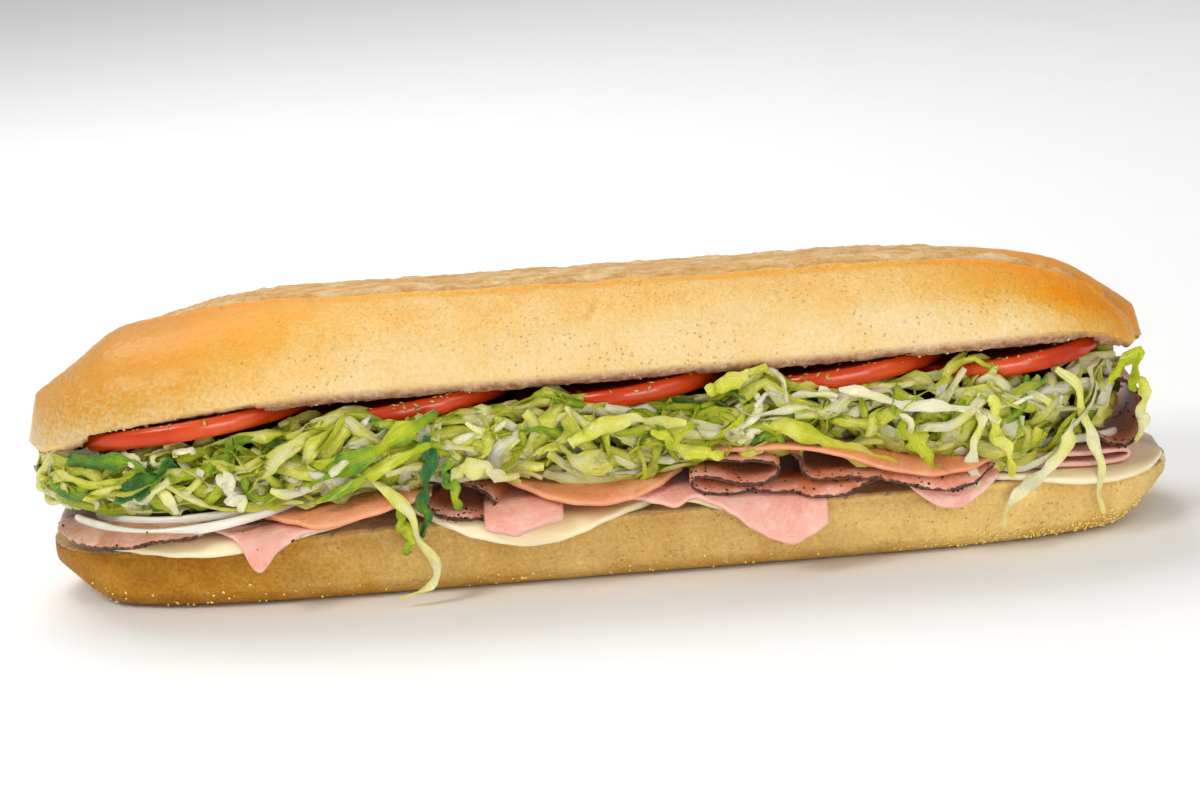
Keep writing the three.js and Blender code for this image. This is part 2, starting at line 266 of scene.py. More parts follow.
# the roll, in mm and degrees
roll = {
    "halfWidth": 36,
    "cut": 18.2,  # height of the lower half's cut face
    "lip": 54.3,  # height of the upper half's lip, which leans back on the filling
    "lean": 6,
    "dome": 21.8,  # height of the upper half over its lip
    "crown": (77.6, 0.95),  # ridges above this height are pressed to within so much of it
    "crustShare": 0.72,  # share of the upper half's rings on the crust, the rest on the crumb
    # the top's humps: x, width and height
    "humps": [(-96, 24, 2.4), (112, 22, 1.2), (-132, 12, 3.2), (130, 12, 1.3), (-66, 22, 1.0)],
    "leftDroop": (-74, 83, 11.6, 1.4),  # x where the lip starts to hang, over what length, how far, power
    "rightDroop": (113, 35, 7, 2),
}
lowBox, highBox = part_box("bread_bottom")
rollLength = (highBox.x - lowBox.x) / mm
upperLow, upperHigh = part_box("bread_top")
upperMiddle = (upperLow.x + upperHigh.x) / 2 / mm
upperLength = (upperHigh.x - upperLow.x) / mm
lean = math.radians(roll["lean"])


# half of the roll's width at x, which closes to nothing at its ends
def halfWidth(x, middle=0.0, length=None):
    along = np.minimum(np.abs(2 * (np.asarray(x, float) - middle) / (length or rollLength)), 0.9995)
    return roll["halfWidth"] * np.sqrt(1 - along ** 6)


# height of the lower half's cut face, lower at the ends
def cutTop(x):
    x = np.asarray(x, float)
    swell = 1.6 * bell(x, -55, 26)
    fall = ease(np.abs(x), 105, 155)
    return roll["cut"] + swell - np.where(x > 0, 4.6, 3.4) * fall


# a round blank along X: each point's place along it, 0 to 1, and round it, 0 to 1 from the front
def addBlank(name, segments, rings):
    deselectAll()
    lying = (0, math.pi / 2, 0)
    bpy.ops.mesh.primitive_uv_sphere_add(segments=segments, ring_count=rings, radius=1, rotation=lying)
    blank = bpy.context.object
    blank.name = name
    bpy.ops.object.transform_apply(location=False, rotation=True, scale=False)
    points = readPoints(blank.data)
    along = 1 - np.arccos(np.clip(points[:, 0], -1, 1)) / math.pi
    around = (np.arctan2(points[:, 2], -points[:, 1]) / (2 * math.pi)) % 1
    return blank, along, around


tomatoes = []
for number in range(1, 6):
    low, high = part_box(f"tomato_{number}")
    tomatoes.append({
        "node": f"tomato_{number}", "x": (low.x + high.x) / 2 / mm, "y": (low.y + high.y) / 2 / mm,
        "z": (low.z + high.z) / 2 / mm, "radius": (high.y - low.y) / 2 / mm / math.cos(lean),
    })
tomatoLook = {"thick": 5, "tilt": math.radians(5.6), "rings": (0.35, 0.45, 1.2, 2.4, 4, 6, 6, 5)}


# height of the tomato slices' tops at x, y in mm, far below where there is none
def tomatoTops(x, y):
    tops = np.full(np.shape(x), -1e3)
    for slice in tomatoes:
        away = np.hypot(x - slice["x"], y - slice["y"])
        plane = slice["z"] + (x - slice["x"]) * math.tan(tomatoLook["tilt"]) - (y - slice["y"]) * math.tan(lean)
        inside = away < slice["radius"] + 1.5
        tops = np.where(inside, np.maximum(tops, plane + tomatoLook["thick"] / 2), tops)
    return tops


# how far the upper half's lip hangs down near its ends
def lipDroop(x):
    start, length, fall, power = roll["leftDroop"]
    left = fall * np.maximum((start - x) / length, 0) ** power
    start, length, fall, power = roll["rightDroop"]
    return left + fall * np.maximum((x - start) / length, 0) ** power


# the torn slash along the top, with (x, y) along its front and back edges
slash = {
    "from": -134, "to": 149, "depth": 1.6,
    "front": [(-134, 4), (-118, -2), (-100, -8), (-60, -14), (0, -15.5), (60, -15.5), (100, -15), (120, -15),
              (138, -15), (150, -12)],
    "back": [(-134, 8), (-90, 10), (0, 9), (62, 8), (88, 3), (108, -6), (122, -11.5), (136, -13), (150, -10.5)],
}


def buildUpper():
    blank, along, around = addBlank("bread_top_loaf", 184, 440)
    x = upperMiddle - upperLength / 2 * np.cos(np.pi * along) * 0.9995
    wide = halfWidth(x, upperMiddle, upperLength)
    share = np.abs(2 * (x - upperMiddle) / upperLength)
    low = -lipDroop(x)
    high = roll["dome"] * (1 - share ** np.where(x < 0, 4.0, 4.7)) ** 0.9 + 1.2
    for middle, width, height in roll["humps"]:
        high = high + height * bell(x, middle, width)
    crustShare = roll["crustShare"]
    onCrust = around <= crustShare
    turn = np.pi * np.clip(around / crustShare, 0, 1)
    cosine = np.cos(turn)
    y = -np.sign(cosine) * wide * np.abs(cosine) ** 0.92
    y = y + 0.9 * np.sin(turn * 2) ** 2 * np.sign(y)
    z = low + (high - low) * np.sin(turn) ** 0.86
    rise = np.clip((z - low) / roll["dome"], 0, 1) * onCrust
    # the ends lean in as they rise
    x = x + rise * (5 * (1 - ease(x, -157, -122)) - 5 * ease(x, 118, 153))
    # the torn slash along the top
    here = np.stack([x, y, z], 1)
    ragged = 1.6 * field(here, 9, 1) + 0.8 * field(here, 3, 2)
    frontEdge = readTable(x, slash["front"]) + ragged
    backEdge = readTable(x, slash["back"]) - ragged
    fromFrontEdge = y - frontEdge
    opened = ease(x, slash["from"], slash["from"] + 30) * (1 - ease(x, slash["to"] - 6, slash["to"]))
    torn = ease(y, frontEdge - 0.5, frontEdge + 1.2) * (1 - ease(y, backEdge - 2, backEdge + 1))
    torn = torn * opened * onCrust
    ear = bell(fromFrontEdge, -0.9, 1.1) * opened * onCrust
    groove = bell(fromFrontEdge, 1.6, 1.6) * opened * onCrust
    rough = 0.6 * field(here, 3.4, 3, (2.4, 1, 1)) + 0.45 * field(here, 1.6, 4)
    rough = rough + 0.5 * field(here, 11, 5, (3, 1, 1))
    z = z + torn * (rough + 0.5) - slash["depth"] * groove + 0.8 * ear * (0.6 + 0.6 * field(here, 14, 6))
    # the crumb side, from the back lip to the front lip
    inner = np.clip((around - crustShare) / (1 - crustShare), 0, 1)
    across = 1 - 2 * inner
    fromEdge = wide * (1 - np.abs(across))
    crumbY = wide * across
    openFace = -3.8 - lipDroop(x)
    tops = tomatoTops(x, crumbY) - roll["lip"] + crumbY * math.tan(lean) + 0.4
    target = np.maximum(openFace, tops)
    depth = 1 - np.exp(-(fromEdge / 1.7) ** 1.3)
    sag = low + (target - low) * depth * ease(1 - share, 0, 0.04)
    spongy = np.stack([x, crumbY, sag], 1)
    pores = 0.5 * field(spongy, 2.6, 7) + 0.4 * field(spongy, 1.2, 8)
    frayed = depth * (1 - ease(fromEdge, 8, 14))
    sag = sag + pores * frayed
    bulgeOut = 0.9 * bell(fromEdge, 2.2, 1.6) * (1 + field(spongy, 7, 9))
    crumbY = crumbY + np.sign(across) * (bulgeOut + 0.5 * pores * frayed) * ease(fromEdge, 0, 1)
    y = np.where(onCrust, y, crumbY)
    z = np.where(onCrust, z, sag)
    # gentle unevenness of the whole crust, grain near both ends, one crease at the front
    here = np.stack([x, y, z], 1)
    swell = 0.5 * field(here, 42, 10) + 0.22 * field(here, 13, 11) + 0.08 * field(here, 4, 12) - 0.35
    grain = 0.26 * field(here, 1.5, 13) * (1 - ease(x, -145, -85))
    grain = grain + 0.16 * field(here, 1.7, 14) * ease(x, 110, 135)
    away = unit(np.stack([np.zeros_like(x), y * 0.55, np.maximum(z, 0) + 2], 1))
    crease = -0.7 * bell(x - 14 - 0.5 * y - 1.5 * field(here, 6, 17), 0, 1.1)
    crease = crease * ease(y, -34, -31) * (1 - ease(y, -27, -22))
    relief = (swell + grain + crease) * onCrust * ease(np.sin(turn), 0.02, 0.3)
    y = y + away[:, 1] * relief
    z = z + away[:, 2] * relief
    # lean back on the filling
    worldY = y * math.cos(lean) + z * math.sin(lean)
    worldZ = roll["lip"] - y * math.sin(lean) + z * math.cos(lean)
    level, give = roll["crown"]
    over = np.maximum(worldZ - level, 0)
    worldZ = np.where(over > 0, level + give * (1 - np.exp(-over / give)), worldZ)
    writePoints(blank.data, np.stack([x, worldY, worldZ], 1) * mm)
    # how deeply each place is baked: pale along the front, deeper on top and at both ends; a darker band just
    # below the ear is painted shade under its overhang
    height = np.sin(turn)
    bakeAndShade = 0.14 + 0.27 * ease(height, 0.25, 0.85) + 0.36 * (1 - ease(x, -125, -45)) * ease(height, -0.1, 0.3)
    bakeAndShade = bakeAndShade + 0.06 * (1 - ease(x, -152, -128)) + 0.1 * (1 - ease(x, -95, -60)) * ease(x, -140, -115)
    bakeAndShade = bakeAndShade + 0.55 * ease(x, 70, 138) * ease(height, 0.1, 0.6) + 0.5 * ease(x, 104, 140)
    # painted shade: darkens the crust just below the ear
    shadeUnderEar = bell(fromFrontEdge, -2.6, 1.7) * opened
    bakeAndShade = bakeAndShade + 0.28 * shadeUnderEar + 0.07 * field(here, 40, 15, (2, 1, 1)) + 0.06 * field(here, 8, 16)
    writeMask(blank.data, "bakeAndShade", np.clip(bakeAndShade, 0, 1))
    writeMask(blank.data, "torn", np.clip(torn + 0.25 * ear, 0, 1))
    writeMask(blank.data, "coarse", np.clip(1 - ease(x, -146, -78) + 0.35 * ease(x, 108, 138), 0, 1) * onCrust)
    bare = 1 - ease(x, -152, -134) * (1 - ease(x, 132, 146))  # the crumb's edge is crust at the ends
    writeMask(blank.data, "crumb", np.where(onCrust, 0, ease(fromEdge, 0.1 + 1.6 * bare, 0.8 + 2.6 * bare)))
    smoothAll(blank)
    return blank


def buildLower():
    blank, along, around = addBlank("bread_bottom_loaf", 150, 400)
    x = -rollLength / 2 * np.cos(np.pi * along)
    wide = halfWidth(x)
    top = cutTop(x)
    lift = 9 * ease(np.abs(x), 128, 153) ** 1.6
    base = np.maximum(wide - 7, wide * 0.6)
    # round from the front's lower edge: up the side, over the cut, down the back, along the base
    side, cut = 0.28, 0.22  # shares of a ring
    place = around
    front = place < side
    over = (place >= side) & (place < side + cut)
    back = (place >= side + cut) & (place < 2 * side + cut)
    climb = np.where(front, place / side, np.where(back, (2 * side + cut - place) / side, 0))
    full = math.radians(96)  # the side curls in a little at its top
    angle = full * np.clip(climb / 0.86, 0, 1)
    swellOut = base + (wide + 1 - base) * np.sin(np.minimum(angle, np.pi / 2))
    rise = lift + 0.62 * (top - lift) * (1 - np.cos(angle)) / (1 - math.cos(full))
    sideY = swellOut - ease(climb, 0.8, 1)
    sideZ = rise + (top - 0.3 - rise) * np.clip((climb - 0.5) / 0.5, 0, 1) ** 1.4
    sign = np.where(front, -1, 1)
    cutY = wide * (2 * np.clip((place - side) / cut, 0, 1) - 1)
    baseY = base * (1 - 2 * np.clip((place - 2 * side - cut) / (1 - 2 * side - cut), 0, 1))
    y = np.where(front | back, sign * sideY, np.where(over, cutY, baseY))
    z = np.where(front | back, sideZ, np.where(over, top, lift))
    here = np.stack([x, y, z], 1)
    onSide = (front | back) * ease(climb, 0.03, 0.2) * (1 - ease(climb, 0.93, 1))
    relief = (0.45 * field(here, 38, 21) + 0.2 * field(here, 12, 22) + 0.08 * field(here, 3.5, 23)) * onSide
    relief = relief + 0.14 * field(here, 1.8, 24) * onSide * (1 - ease(x, -150, -110))
    pores = 0.35 * field(here, 2, 25) * (over | (climb > 0.93))
    y = y + sign * (relief - 0.35 * onSide)
    z = np.maximum(z + pores * (z > 5), 0)
    writePoints(blank.data, np.stack([x, y, z], 1) * mm)
    level = np.clip(z / 18, 0, 1)
    bakeAndShade = 0.42 + 0.42 * (1 - ease(x, -150, -20)) - 0.2 * ease(x, -10, 110) + 0.2 * (1 - ease(level, 0, 0.35))
    bakeAndShade = bakeAndShade + 0.14 * field(here, 26, 26) + 0.1 * field(here, 7, 27)
    writeMask(blank.data, "bakeAndShade", np.clip(bakeAndShade, 0, 1))
    writeMask(blank.data, "torn", np.zeros_like(x))
    writeMask(blank.data, "crumb", np.where(over, 1.0, 0.0))
    smoothAll(blank)
    return blank


def crustMaterial(name, stops, tornColours, shine, crumbColours):
    material, tree, shader = newMaterial(name)
    bakeAndShade = addMask(tree, "bakeAndShade")
    blotch = addNoise(tree, 55, 6, 0.6)
    fine = addNoise(tree, 900, 5, 0.7)
    depth = compute(tree, "ADD", bakeAndShade, remap(tree, blotch, 0.3, 0.7, -0.09, 0.09))
    coarse = addMask(tree, "coarse")
    grit = remap(tree, fine, 0.3, 0.7, -1.0, 1.0)
    grit = compute(tree, "MULTIPLY", grit, remap(tree, coarse, 0, 1, 0.15, 0.36))
    depth = compute(tree, "ADD", depth, grit, clamp=True)
    crust = addRamp(tree, depth, stops)
    # tiny pale blisters and darker pits
    patch = remap(tree, addNoise(tree, 70, 3), 0.42, 0.58)
    dots = compute(tree, "MULTIPLY", remap(tree, addSpots(tree, 620), 0.2, 0.1), patch)
    crust = mixColours(tree, compute(tree, "MULTIPLY", dots, 0.42), crust, (0.98, 0.80, 0.52))
    pitPatch = remap(tree, addNoise(tree, 95, 2), 0.6, 0.7)
    pit = compute(tree, "MULTIPLY", remap(tree, addSpots(tree, 210), 0.13, 0.04), pitPatch)
    crust = mixColours(tree, compute(tree, "MULTIPLY", pit, 0.35), crust, (0.56, 0.27, 0.06))
    # the torn slash: dusty pale ridges over tan hollows
    ridges = addNoise(tree, 330, 8, 0.72, 0.4, stretched(tree, (0.4, 1, 1)))
    tornSkin = addRamp(tree, ridges, tornColours)
    tornShare = addMask(tree, "torn")
    crust = mixColours(tree, tornShare, crust, tornSkin)
    # the crumb: spongy, pinkish tan
    sponge = addNoise(tree, 420, 6, 0.75)
    crumb = addRamp(tree, sponge, crumbColours)
    crumbShare = addMask(tree, "crumb")
    colour = mixColours(tree, crumbShare, crust, crumb)
    tree.links.new(colour, shader.inputs["Base Color"])
    dull = compute(tree, "MAXIMUM", tornShare, crumbShare)
    glaze = remap(tree, blotch, 0.35, 0.65, shine - 0.06, shine + 0.08)
    rough = compute(tree, "ADD", glaze, compute(tree, "MULTIPLY", dull, 0.45), clamp=True)
    rough = compute(tree, "SUBTRACT", rough, compute(tree, "MULTIPLY", coarse, 0.13))
    tree.links.new(rough, shader.inputs["Roughness"])
    tree.links.new(compute(tree, "MULTIPLY", coarse, 0.55), shader.inputs["Coat Weight"])
    setSockets(shader, {"Coat Roughness": 0.32, "Specular IOR Level": 0.28,
                        **softLight(0.1, (1.0, 0.5, 0.2), 0.0018)})
    # relief: leathery skin with raised blisters, coarse on torn and cut places
    leather = addNoise(tree, 260, 8, 0.62)
    skin = compute(tree, "ADD", leather, compute(tree, "MULTIPLY", dots, 0.5))
    skin = compute(tree, "SUBTRACT", skin, compute(tree, "MULTIPLY", pit, 0.25))
    torn = compute(tree, "ADD", ridges, sponge)
    ragged = compute(tree, "MULTIPLY", torn, compute(tree, "MULTIPLY", dull, 1.3))
    grainy = compute(tree, "MULTIPLY", fine, remap(tree, coarse, 0, 1, 0.25, 1.1))
    height = compute(tree, "ADD", compute(tree, "ADD", skin, ragged), grainy)
    addBump(tree, shader, height, 0.0011, 1.0)
    return material


# colours from pale to deeply baked, of the torn slash, and of the crumb
upperCrust = crustMaterial(
    "crust_upper",
    [(0.0, (0.84, 0.68, 0.41)), (0.3, (0.82, 0.56, 0.22)), (0.6, (0.79, 0.41, 0.06)), (1.0, (0.86, 0.32, 0.003))],
    [(0.32, (0.70, 0.37, 0.12)), (0.5, (0.90, 0.57, 0.25)), (0.64, (0.98, 0.78, 0.50))], 0.38,
    # the upper crumb's colours are darkened: painted shade under the upper half's lip
    [(0.3, (0.34, 0.14, 0.07)), (0.5, (0.60, 0.33, 0.20)), (0.68, (0.84, 0.60, 0.42))])
# the lower half's crust colours are darker and duller than the upper's: its own deeper bake with painted shade
lowerCrust = crustMaterial(
    "crust_lower",
    [(0.0, (0.94, 0.68, 0.27)), (0.4, (0.66, 0.44, 0.15)), (0.75, (0.48, 0.24, 0.018)),
     (1.0, (0.34, 0.125, 0.004))],
    [(0.3, (0.6, 0.3, 0.1)), (0.7, (0.8, 0.6, 0.35))], 0.45,
    [(0.3, (0.58, 0.36, 0.16)), (0.5, (0.76, 0.55, 0.30)), (0.68, (0.9, 0.72, 0.46))])
settle(buildUpper(), "crust", upperCrust, "bread_top")
settle(buildLower(), "crust", lowerCrust, "bread_bottom")
print("roll built")


# rounded line through a few points, evenly spaced: two columns, and the length run so far
def roundedLine(points, count, rounds=3):
    line = np.array(points, float)
    for _ in range(rounds):
        near = 0.75 * line[:-1] + 0.25 * line[1:]
        far = 0.25 * line[:-1] + 0.75 * line[1:]
        mixed = np.empty((2 * len(near), line.shape[1]))
        mixed[0::2], mixed[1::2] = near, far
        line = np.vstack([line[:1], mixed, line[-1:]])
    steps = np.linalg.norm(np.diff(line, axis=0), axis=1)
    run = np.concatenate([[0], np.cumsum(steps)])
    at = np.linspace(0, run[-1], count)
    return np.stack([np.interp(at, run, line[:, k]) for k in range(line.shape[1])], 1), at


# values spread evenly from 0 to 1, eased from one to the next, read at a share
def along(values, share):
    places = np.linspace(0, 1, len(values))
    k = np.clip(np.searchsorted(places, share) - 1, 0, len(values) - 2)
    part = (share - places[k]) / (places[k + 1] - places[k])
    part = part * part * (3 - 2 * part)
    values = np.asarray(values, float)
    return values[k] * (1 - part) + values[k + 1] * part


# how a slice bends down over the roll's edge: radius in mm and steepest angle
edgeBend = {"radius": 3.2, "most": math.radians(80)}


# a point so far out from the middle line and so high above the cut; past the roll's edge it bends down
def drape(x, reach, height):
    edge = halfWidth(x) + 0.7
    top = cutTop(x)
    past = np.maximum(np.abs(reach) - edge, 0)
    run = edgeBend["radius"] + np.maximum(height, 1.5)
    bend = np.minimum(past / run, edgeBend["most"])
    straight = past - bend * run
    curve, most = edgeBend["radius"] + height, edgeBend["most"]
    out = np.minimum(np.abs(reach), edge) + curve * np.sin(bend) + straight * math.cos(most)
    z = top - edgeBend["radius"] + curve * np.cos(bend) - straight * math.sin(most)
    return np.sign(reach) * out, z


zones = {"front": (24, 16), "middle": 5, "back": (20, 9)}  # a slice's zones: depth in mm and columns


# a slice of one path of (x, height), spread to the front and the back by how far it reaches past the roll
def addSheet(name, look):
    line, run = roundedLine(look["path"], 400)
    rows = max(int(run[-1] / look.get("step", 1.9)), 8)
    frontDepth, frontColumns = zones["front"]
    backDepth, backColumns = zones["back"]
    columns = frontColumns + zones["middle"] + backColumns
    deselectAll()
    bpy.ops.mesh.primitive_grid_add(x_subdivisions=rows, y_subdivisions=columns, size=1)
    sheet = bpy.context.object
    sheet.name = name
    flat = readPoints(sheet.data)
    u = flat[:, 0] + 0.5
    column = np.round((flat[:, 1] + 0.5) * columns)
    x = np.interp(u * run[-1], run, line[:, 0])
    height = np.interp(u * run[-1], run, line[:, 1])
    front = -(halfWidth(x) + along(look["front"], u))
    back = halfWidth(x) + along(look["back"], u)
    toBack = columns - column
    nearFront = front + frontDepth * (column / frontColumns)
    nearBack = back - backDepth * (toBack / backColumns)
    share = np.clip((column - frontColumns) / zones["middle"], 0, 1)
    middle = (front + frontDepth) * (1 - share) + (back - backDepth) * share
    reach = np.where(column <= frontColumns, nearFront, np.where(toBack <= backColumns, nearBack, middle))
    fromFront = reach - front
    fromBack = back - reach
    seed = len(name)
    size, amount = look.get("wave", (16, 0.35))
    place = np.stack([u * run[-1], reach, np.full_like(x, seed * 9.0)], 1)
    height = height + amount * field(place, size, seed, (1, 1.6, 1)) * (0.35 + np.exp(-fromFront / 12))
    if "lift" in look:
        height = height + along(look["lift"], u) * np.exp(-fromFront / 8)
    reach = reach + 0.5 * field(place, 9, seed + 3) * np.exp(-fromFront / 2.5)
    x = x + look.get("skew", 0) * np.minimum(fromFront, 30) + 0.3 * field(place, 12, seed + 5)
    y, z = drape(x, reach, height)
    if "ridge" in look:  # a fold that stands out of the hanging part
        middleX, wide, out, slope = look["ridge"]
        past = np.abs(reach) - halfWidth(x)
        hanging = ease(past, 0, 5) * (reach < 0)
        fold = np.maximum(1 - np.abs(x - middleX - slope * past) / wide, 0)
        y = y - out * hanging * fold
    writePoints(sheet.data, np.stack([x, y, z], 1) * mm)
    writeMask(sheet.data, "rim", np.minimum(fromFront, fromBack))
    thicken = sheet.modifiers.new("thickness", "SOLIDIFY")
    thicken.thickness = look["thick"] * mm
    thicken.offset = 0
    thicken.use_even_offset = False
    soften(sheet, 1)
    outward(sheet)
    smoothAll(sheet)
    return sheet


# one piece of several, named for the first
def joinPieces(first, *others):
    deselectAll()
    for piece in (first, *others):
        piece.select_set(True)
    bpy.context.view_layer.objects.active = first
    bpy.ops.object.join()
    return first


def meatMaterial(name, flesh, pale, dark, marble, rimColour=None, rimWidth=1.6, wet=0.3, inside=None):
    material, tree, shader = newMaterial(name)
    cloud = addNoise(tree, 60, 5, 0.6, 0.6)
    colour = addRamp(tree, cloud, [(0.3, dark), (0.5, flesh), (0.7, pale)])
    streak = addNoise(tree, 170, 6, 0.65, 1.2)
    colour = mixColours(tree, remap(tree, streak, 0.5, 0.66, 0, marble), colour, (0.95, 0.78, 0.68))
    grains = addNoise(tree, 520, 3, 0.5, 0.8)
    colour = mixColours(tree, remap(tree, grains, 0.36, 0.5, marble * 1.4, 0), colour, dark)
    fine = addNoise(tree, 1400, 3, 0.6)
    colour = mixColours(tree, remap(tree, fine, 0.35, 0.65, 0.12, 0), colour, dark)
    rim = addMask(tree, "rim")
    # painted shade: away from its edges the slice turns to the darker inside colour, the shade deep in its folds
    # and loops
    if inside:
        colour = mixColours(tree, remap(tree, rim, 2.5, 7, 0, 0.9), colour, inside)
    if rimColour:
        grit = addNoise(tree, 1500, 4, 0.8)
        ragged = compute(tree, "ADD", rim, remap(tree, addNoise(tree, 520, 3), 0.3, 0.7, -0.6, 0.6))
        band = remap(tree, ragged, rimWidth, rimWidth * 0.45)
        pepper = [(0.35, (0.012, 0.006, 0.004)), (0.56, rimColour), (0.72, (0.30, 0.12, 0.05))]
        pepper = addRamp(tree, grit, pepper)
        colour = mixColours(tree, compute(tree, "MULTIPLY", band, 0.96, clamp=True), colour, pepper)
    else:
        cutEdge = remap(tree, rim, 1.2, 0.2)
        colour = mixColours(tree, compute(tree, "MULTIPLY", cutEdge, 0.45, clamp=True), colour, pale)
    tree.links.new(colour, shader.inputs["Base Color"])
    tree.links.new(remap(tree, cloud, 0.3, 0.7, wet - 0.08, wet + 0.12), shader.inputs["Roughness"])
    setSockets(shader, {"Specular IOR Level": 0.5, **softLight(0.22, (1.0, 0.35, 0.22), 0.003)})
    height = compute(tree, "ADD", addNoise(tree, 240, 6, 0.6), compute(tree, "MULTIPLY", fine, 0.4))
    addBump(tree, shader, height, 0.0009, 0.6)
    return material


def cheeseMaterial():
    material, tree, shader = newMaterial("provolone_slice")
    cloud = addNoise(tree, 38, 4)
    colour = addRamp(tree, cloud, [(0.3, (0.88, 0.70, 0.41)), (0.7, (0.93, 0.80, 0.54))])
    rim = addMask(tree, "rim")
    colour = mixColours(tree, remap(tree, rim, 1.6, 0.3, 0, 0.75), colour, (0.92, 0.82, 0.57))
    tree.links.new(colour, shader.inputs["Base Color"])
    tree.links.new(remap(tree, addNoise(tree, 120, 5), 0.3, 0.7, 0.3, 0.46), shader.inputs["Roughness"])
    setSockets(shader, softLight(0.35, (1.0, 0.75, 0.4), 0.004))
    addBump(tree, shader, addNoise(tree, 420, 6, 0.6), 0.0003, 0.35)
    return material


def onionMaterial():
    material, tree, shader = newMaterial("raw_onion")
    veins = addNoise(tree, 240, 4, 0.6, 0, stretched(tree, (0.15, 1, 1)))
    colour = addRamp(tree, veins, [(0.3, (0.72, 0.66, 0.53)), (0.7, (0.86, 0.83, 0.74))])
    tree.links.new(colour, shader.inputs["Base Color"])
    setSockets(shader, {"Roughness": 0.24, **softLight(0.5, (1, 1, 0.8), 0.004)})
    addBump(tree, shader, veins, 0.0003, 0.4)
    return material


flat, lapped = 1.5, 4.05  # heights of a cheese slice's middle over the cut and over its neighbour


# how far a round slice reaches past the roll's edge, along its length
def roundReach(radius, middle, hang):
    places = radius * 0.985 * np.linspace(-1, 1, 13)
    return list(np.sqrt(radius ** 2 - places ** 2) - halfWidth(middle + places) + hang)


# round slices: middle and radius in mm, how far they hang past the roll's edge, and (x, height over the cut)
cheeses = {
    "cheese_1": {"middle": -100, "radius": 48, "hang": -7,
                 "path": [(-147, 1.8), (-125, flat), (-75, flat), (-53, flat)]},
    "cheese_2": {"middle": -22, "radius": 44, "hang": 2,
                 "path": [(-65, lapped), (-52, lapped), (-46, 1.7), (-40, flat), (21, flat)]},
    "cheese_3": {"middle": 34, "radius": 46, "hang": -5.5,
                 "path": [(-11, lapped), (22, lapped), (28, 1.7), (35, flat), (79, flat)]},
    "cheese_4": {"middle": 116, "radius": 36.5, "hang": 0, "path": [(80.6, flat), (110, flat), (151.5, flat)]},
}

# by slot: flesh, pale and dark colours, marbling, then the rim's colour and width, and the roughness; the pastrami
# also takes a darker inside colour, painted shade in its folds
meatFinishes = {
    "ham": meatMaterial("boiled_ham", (0.83, 0.44, 0.36), (0.88, 0.58, 0.50), (0.74, 0.33, 0.25), 0.22),
    "smoked_ham": meatMaterial("smoked_ham_slice", (0.56, 0.29, 0.19), (0.72, 0.47, 0.36), (0.42, 0.18, 0.09),
                               0.2, (0.10, 0.045, 0.02), 0.5, 0.24),
    "salami": meatMaterial("salami_slice", (0.76, 0.31, 0.15), (0.82, 0.42, 0.24), (0.64, 0.22, 0.09), 0.16),
    "pastrami": meatMaterial("peppered_pastrami", (0.80, 0.38, 0.28), (0.86, 0.53, 0.42), (0.62, 0.22, 0.11),
                             0.24, (0.07, 0.03, 0.015), 0.9, inside=(0.56, 0.18, 0.035)),
}

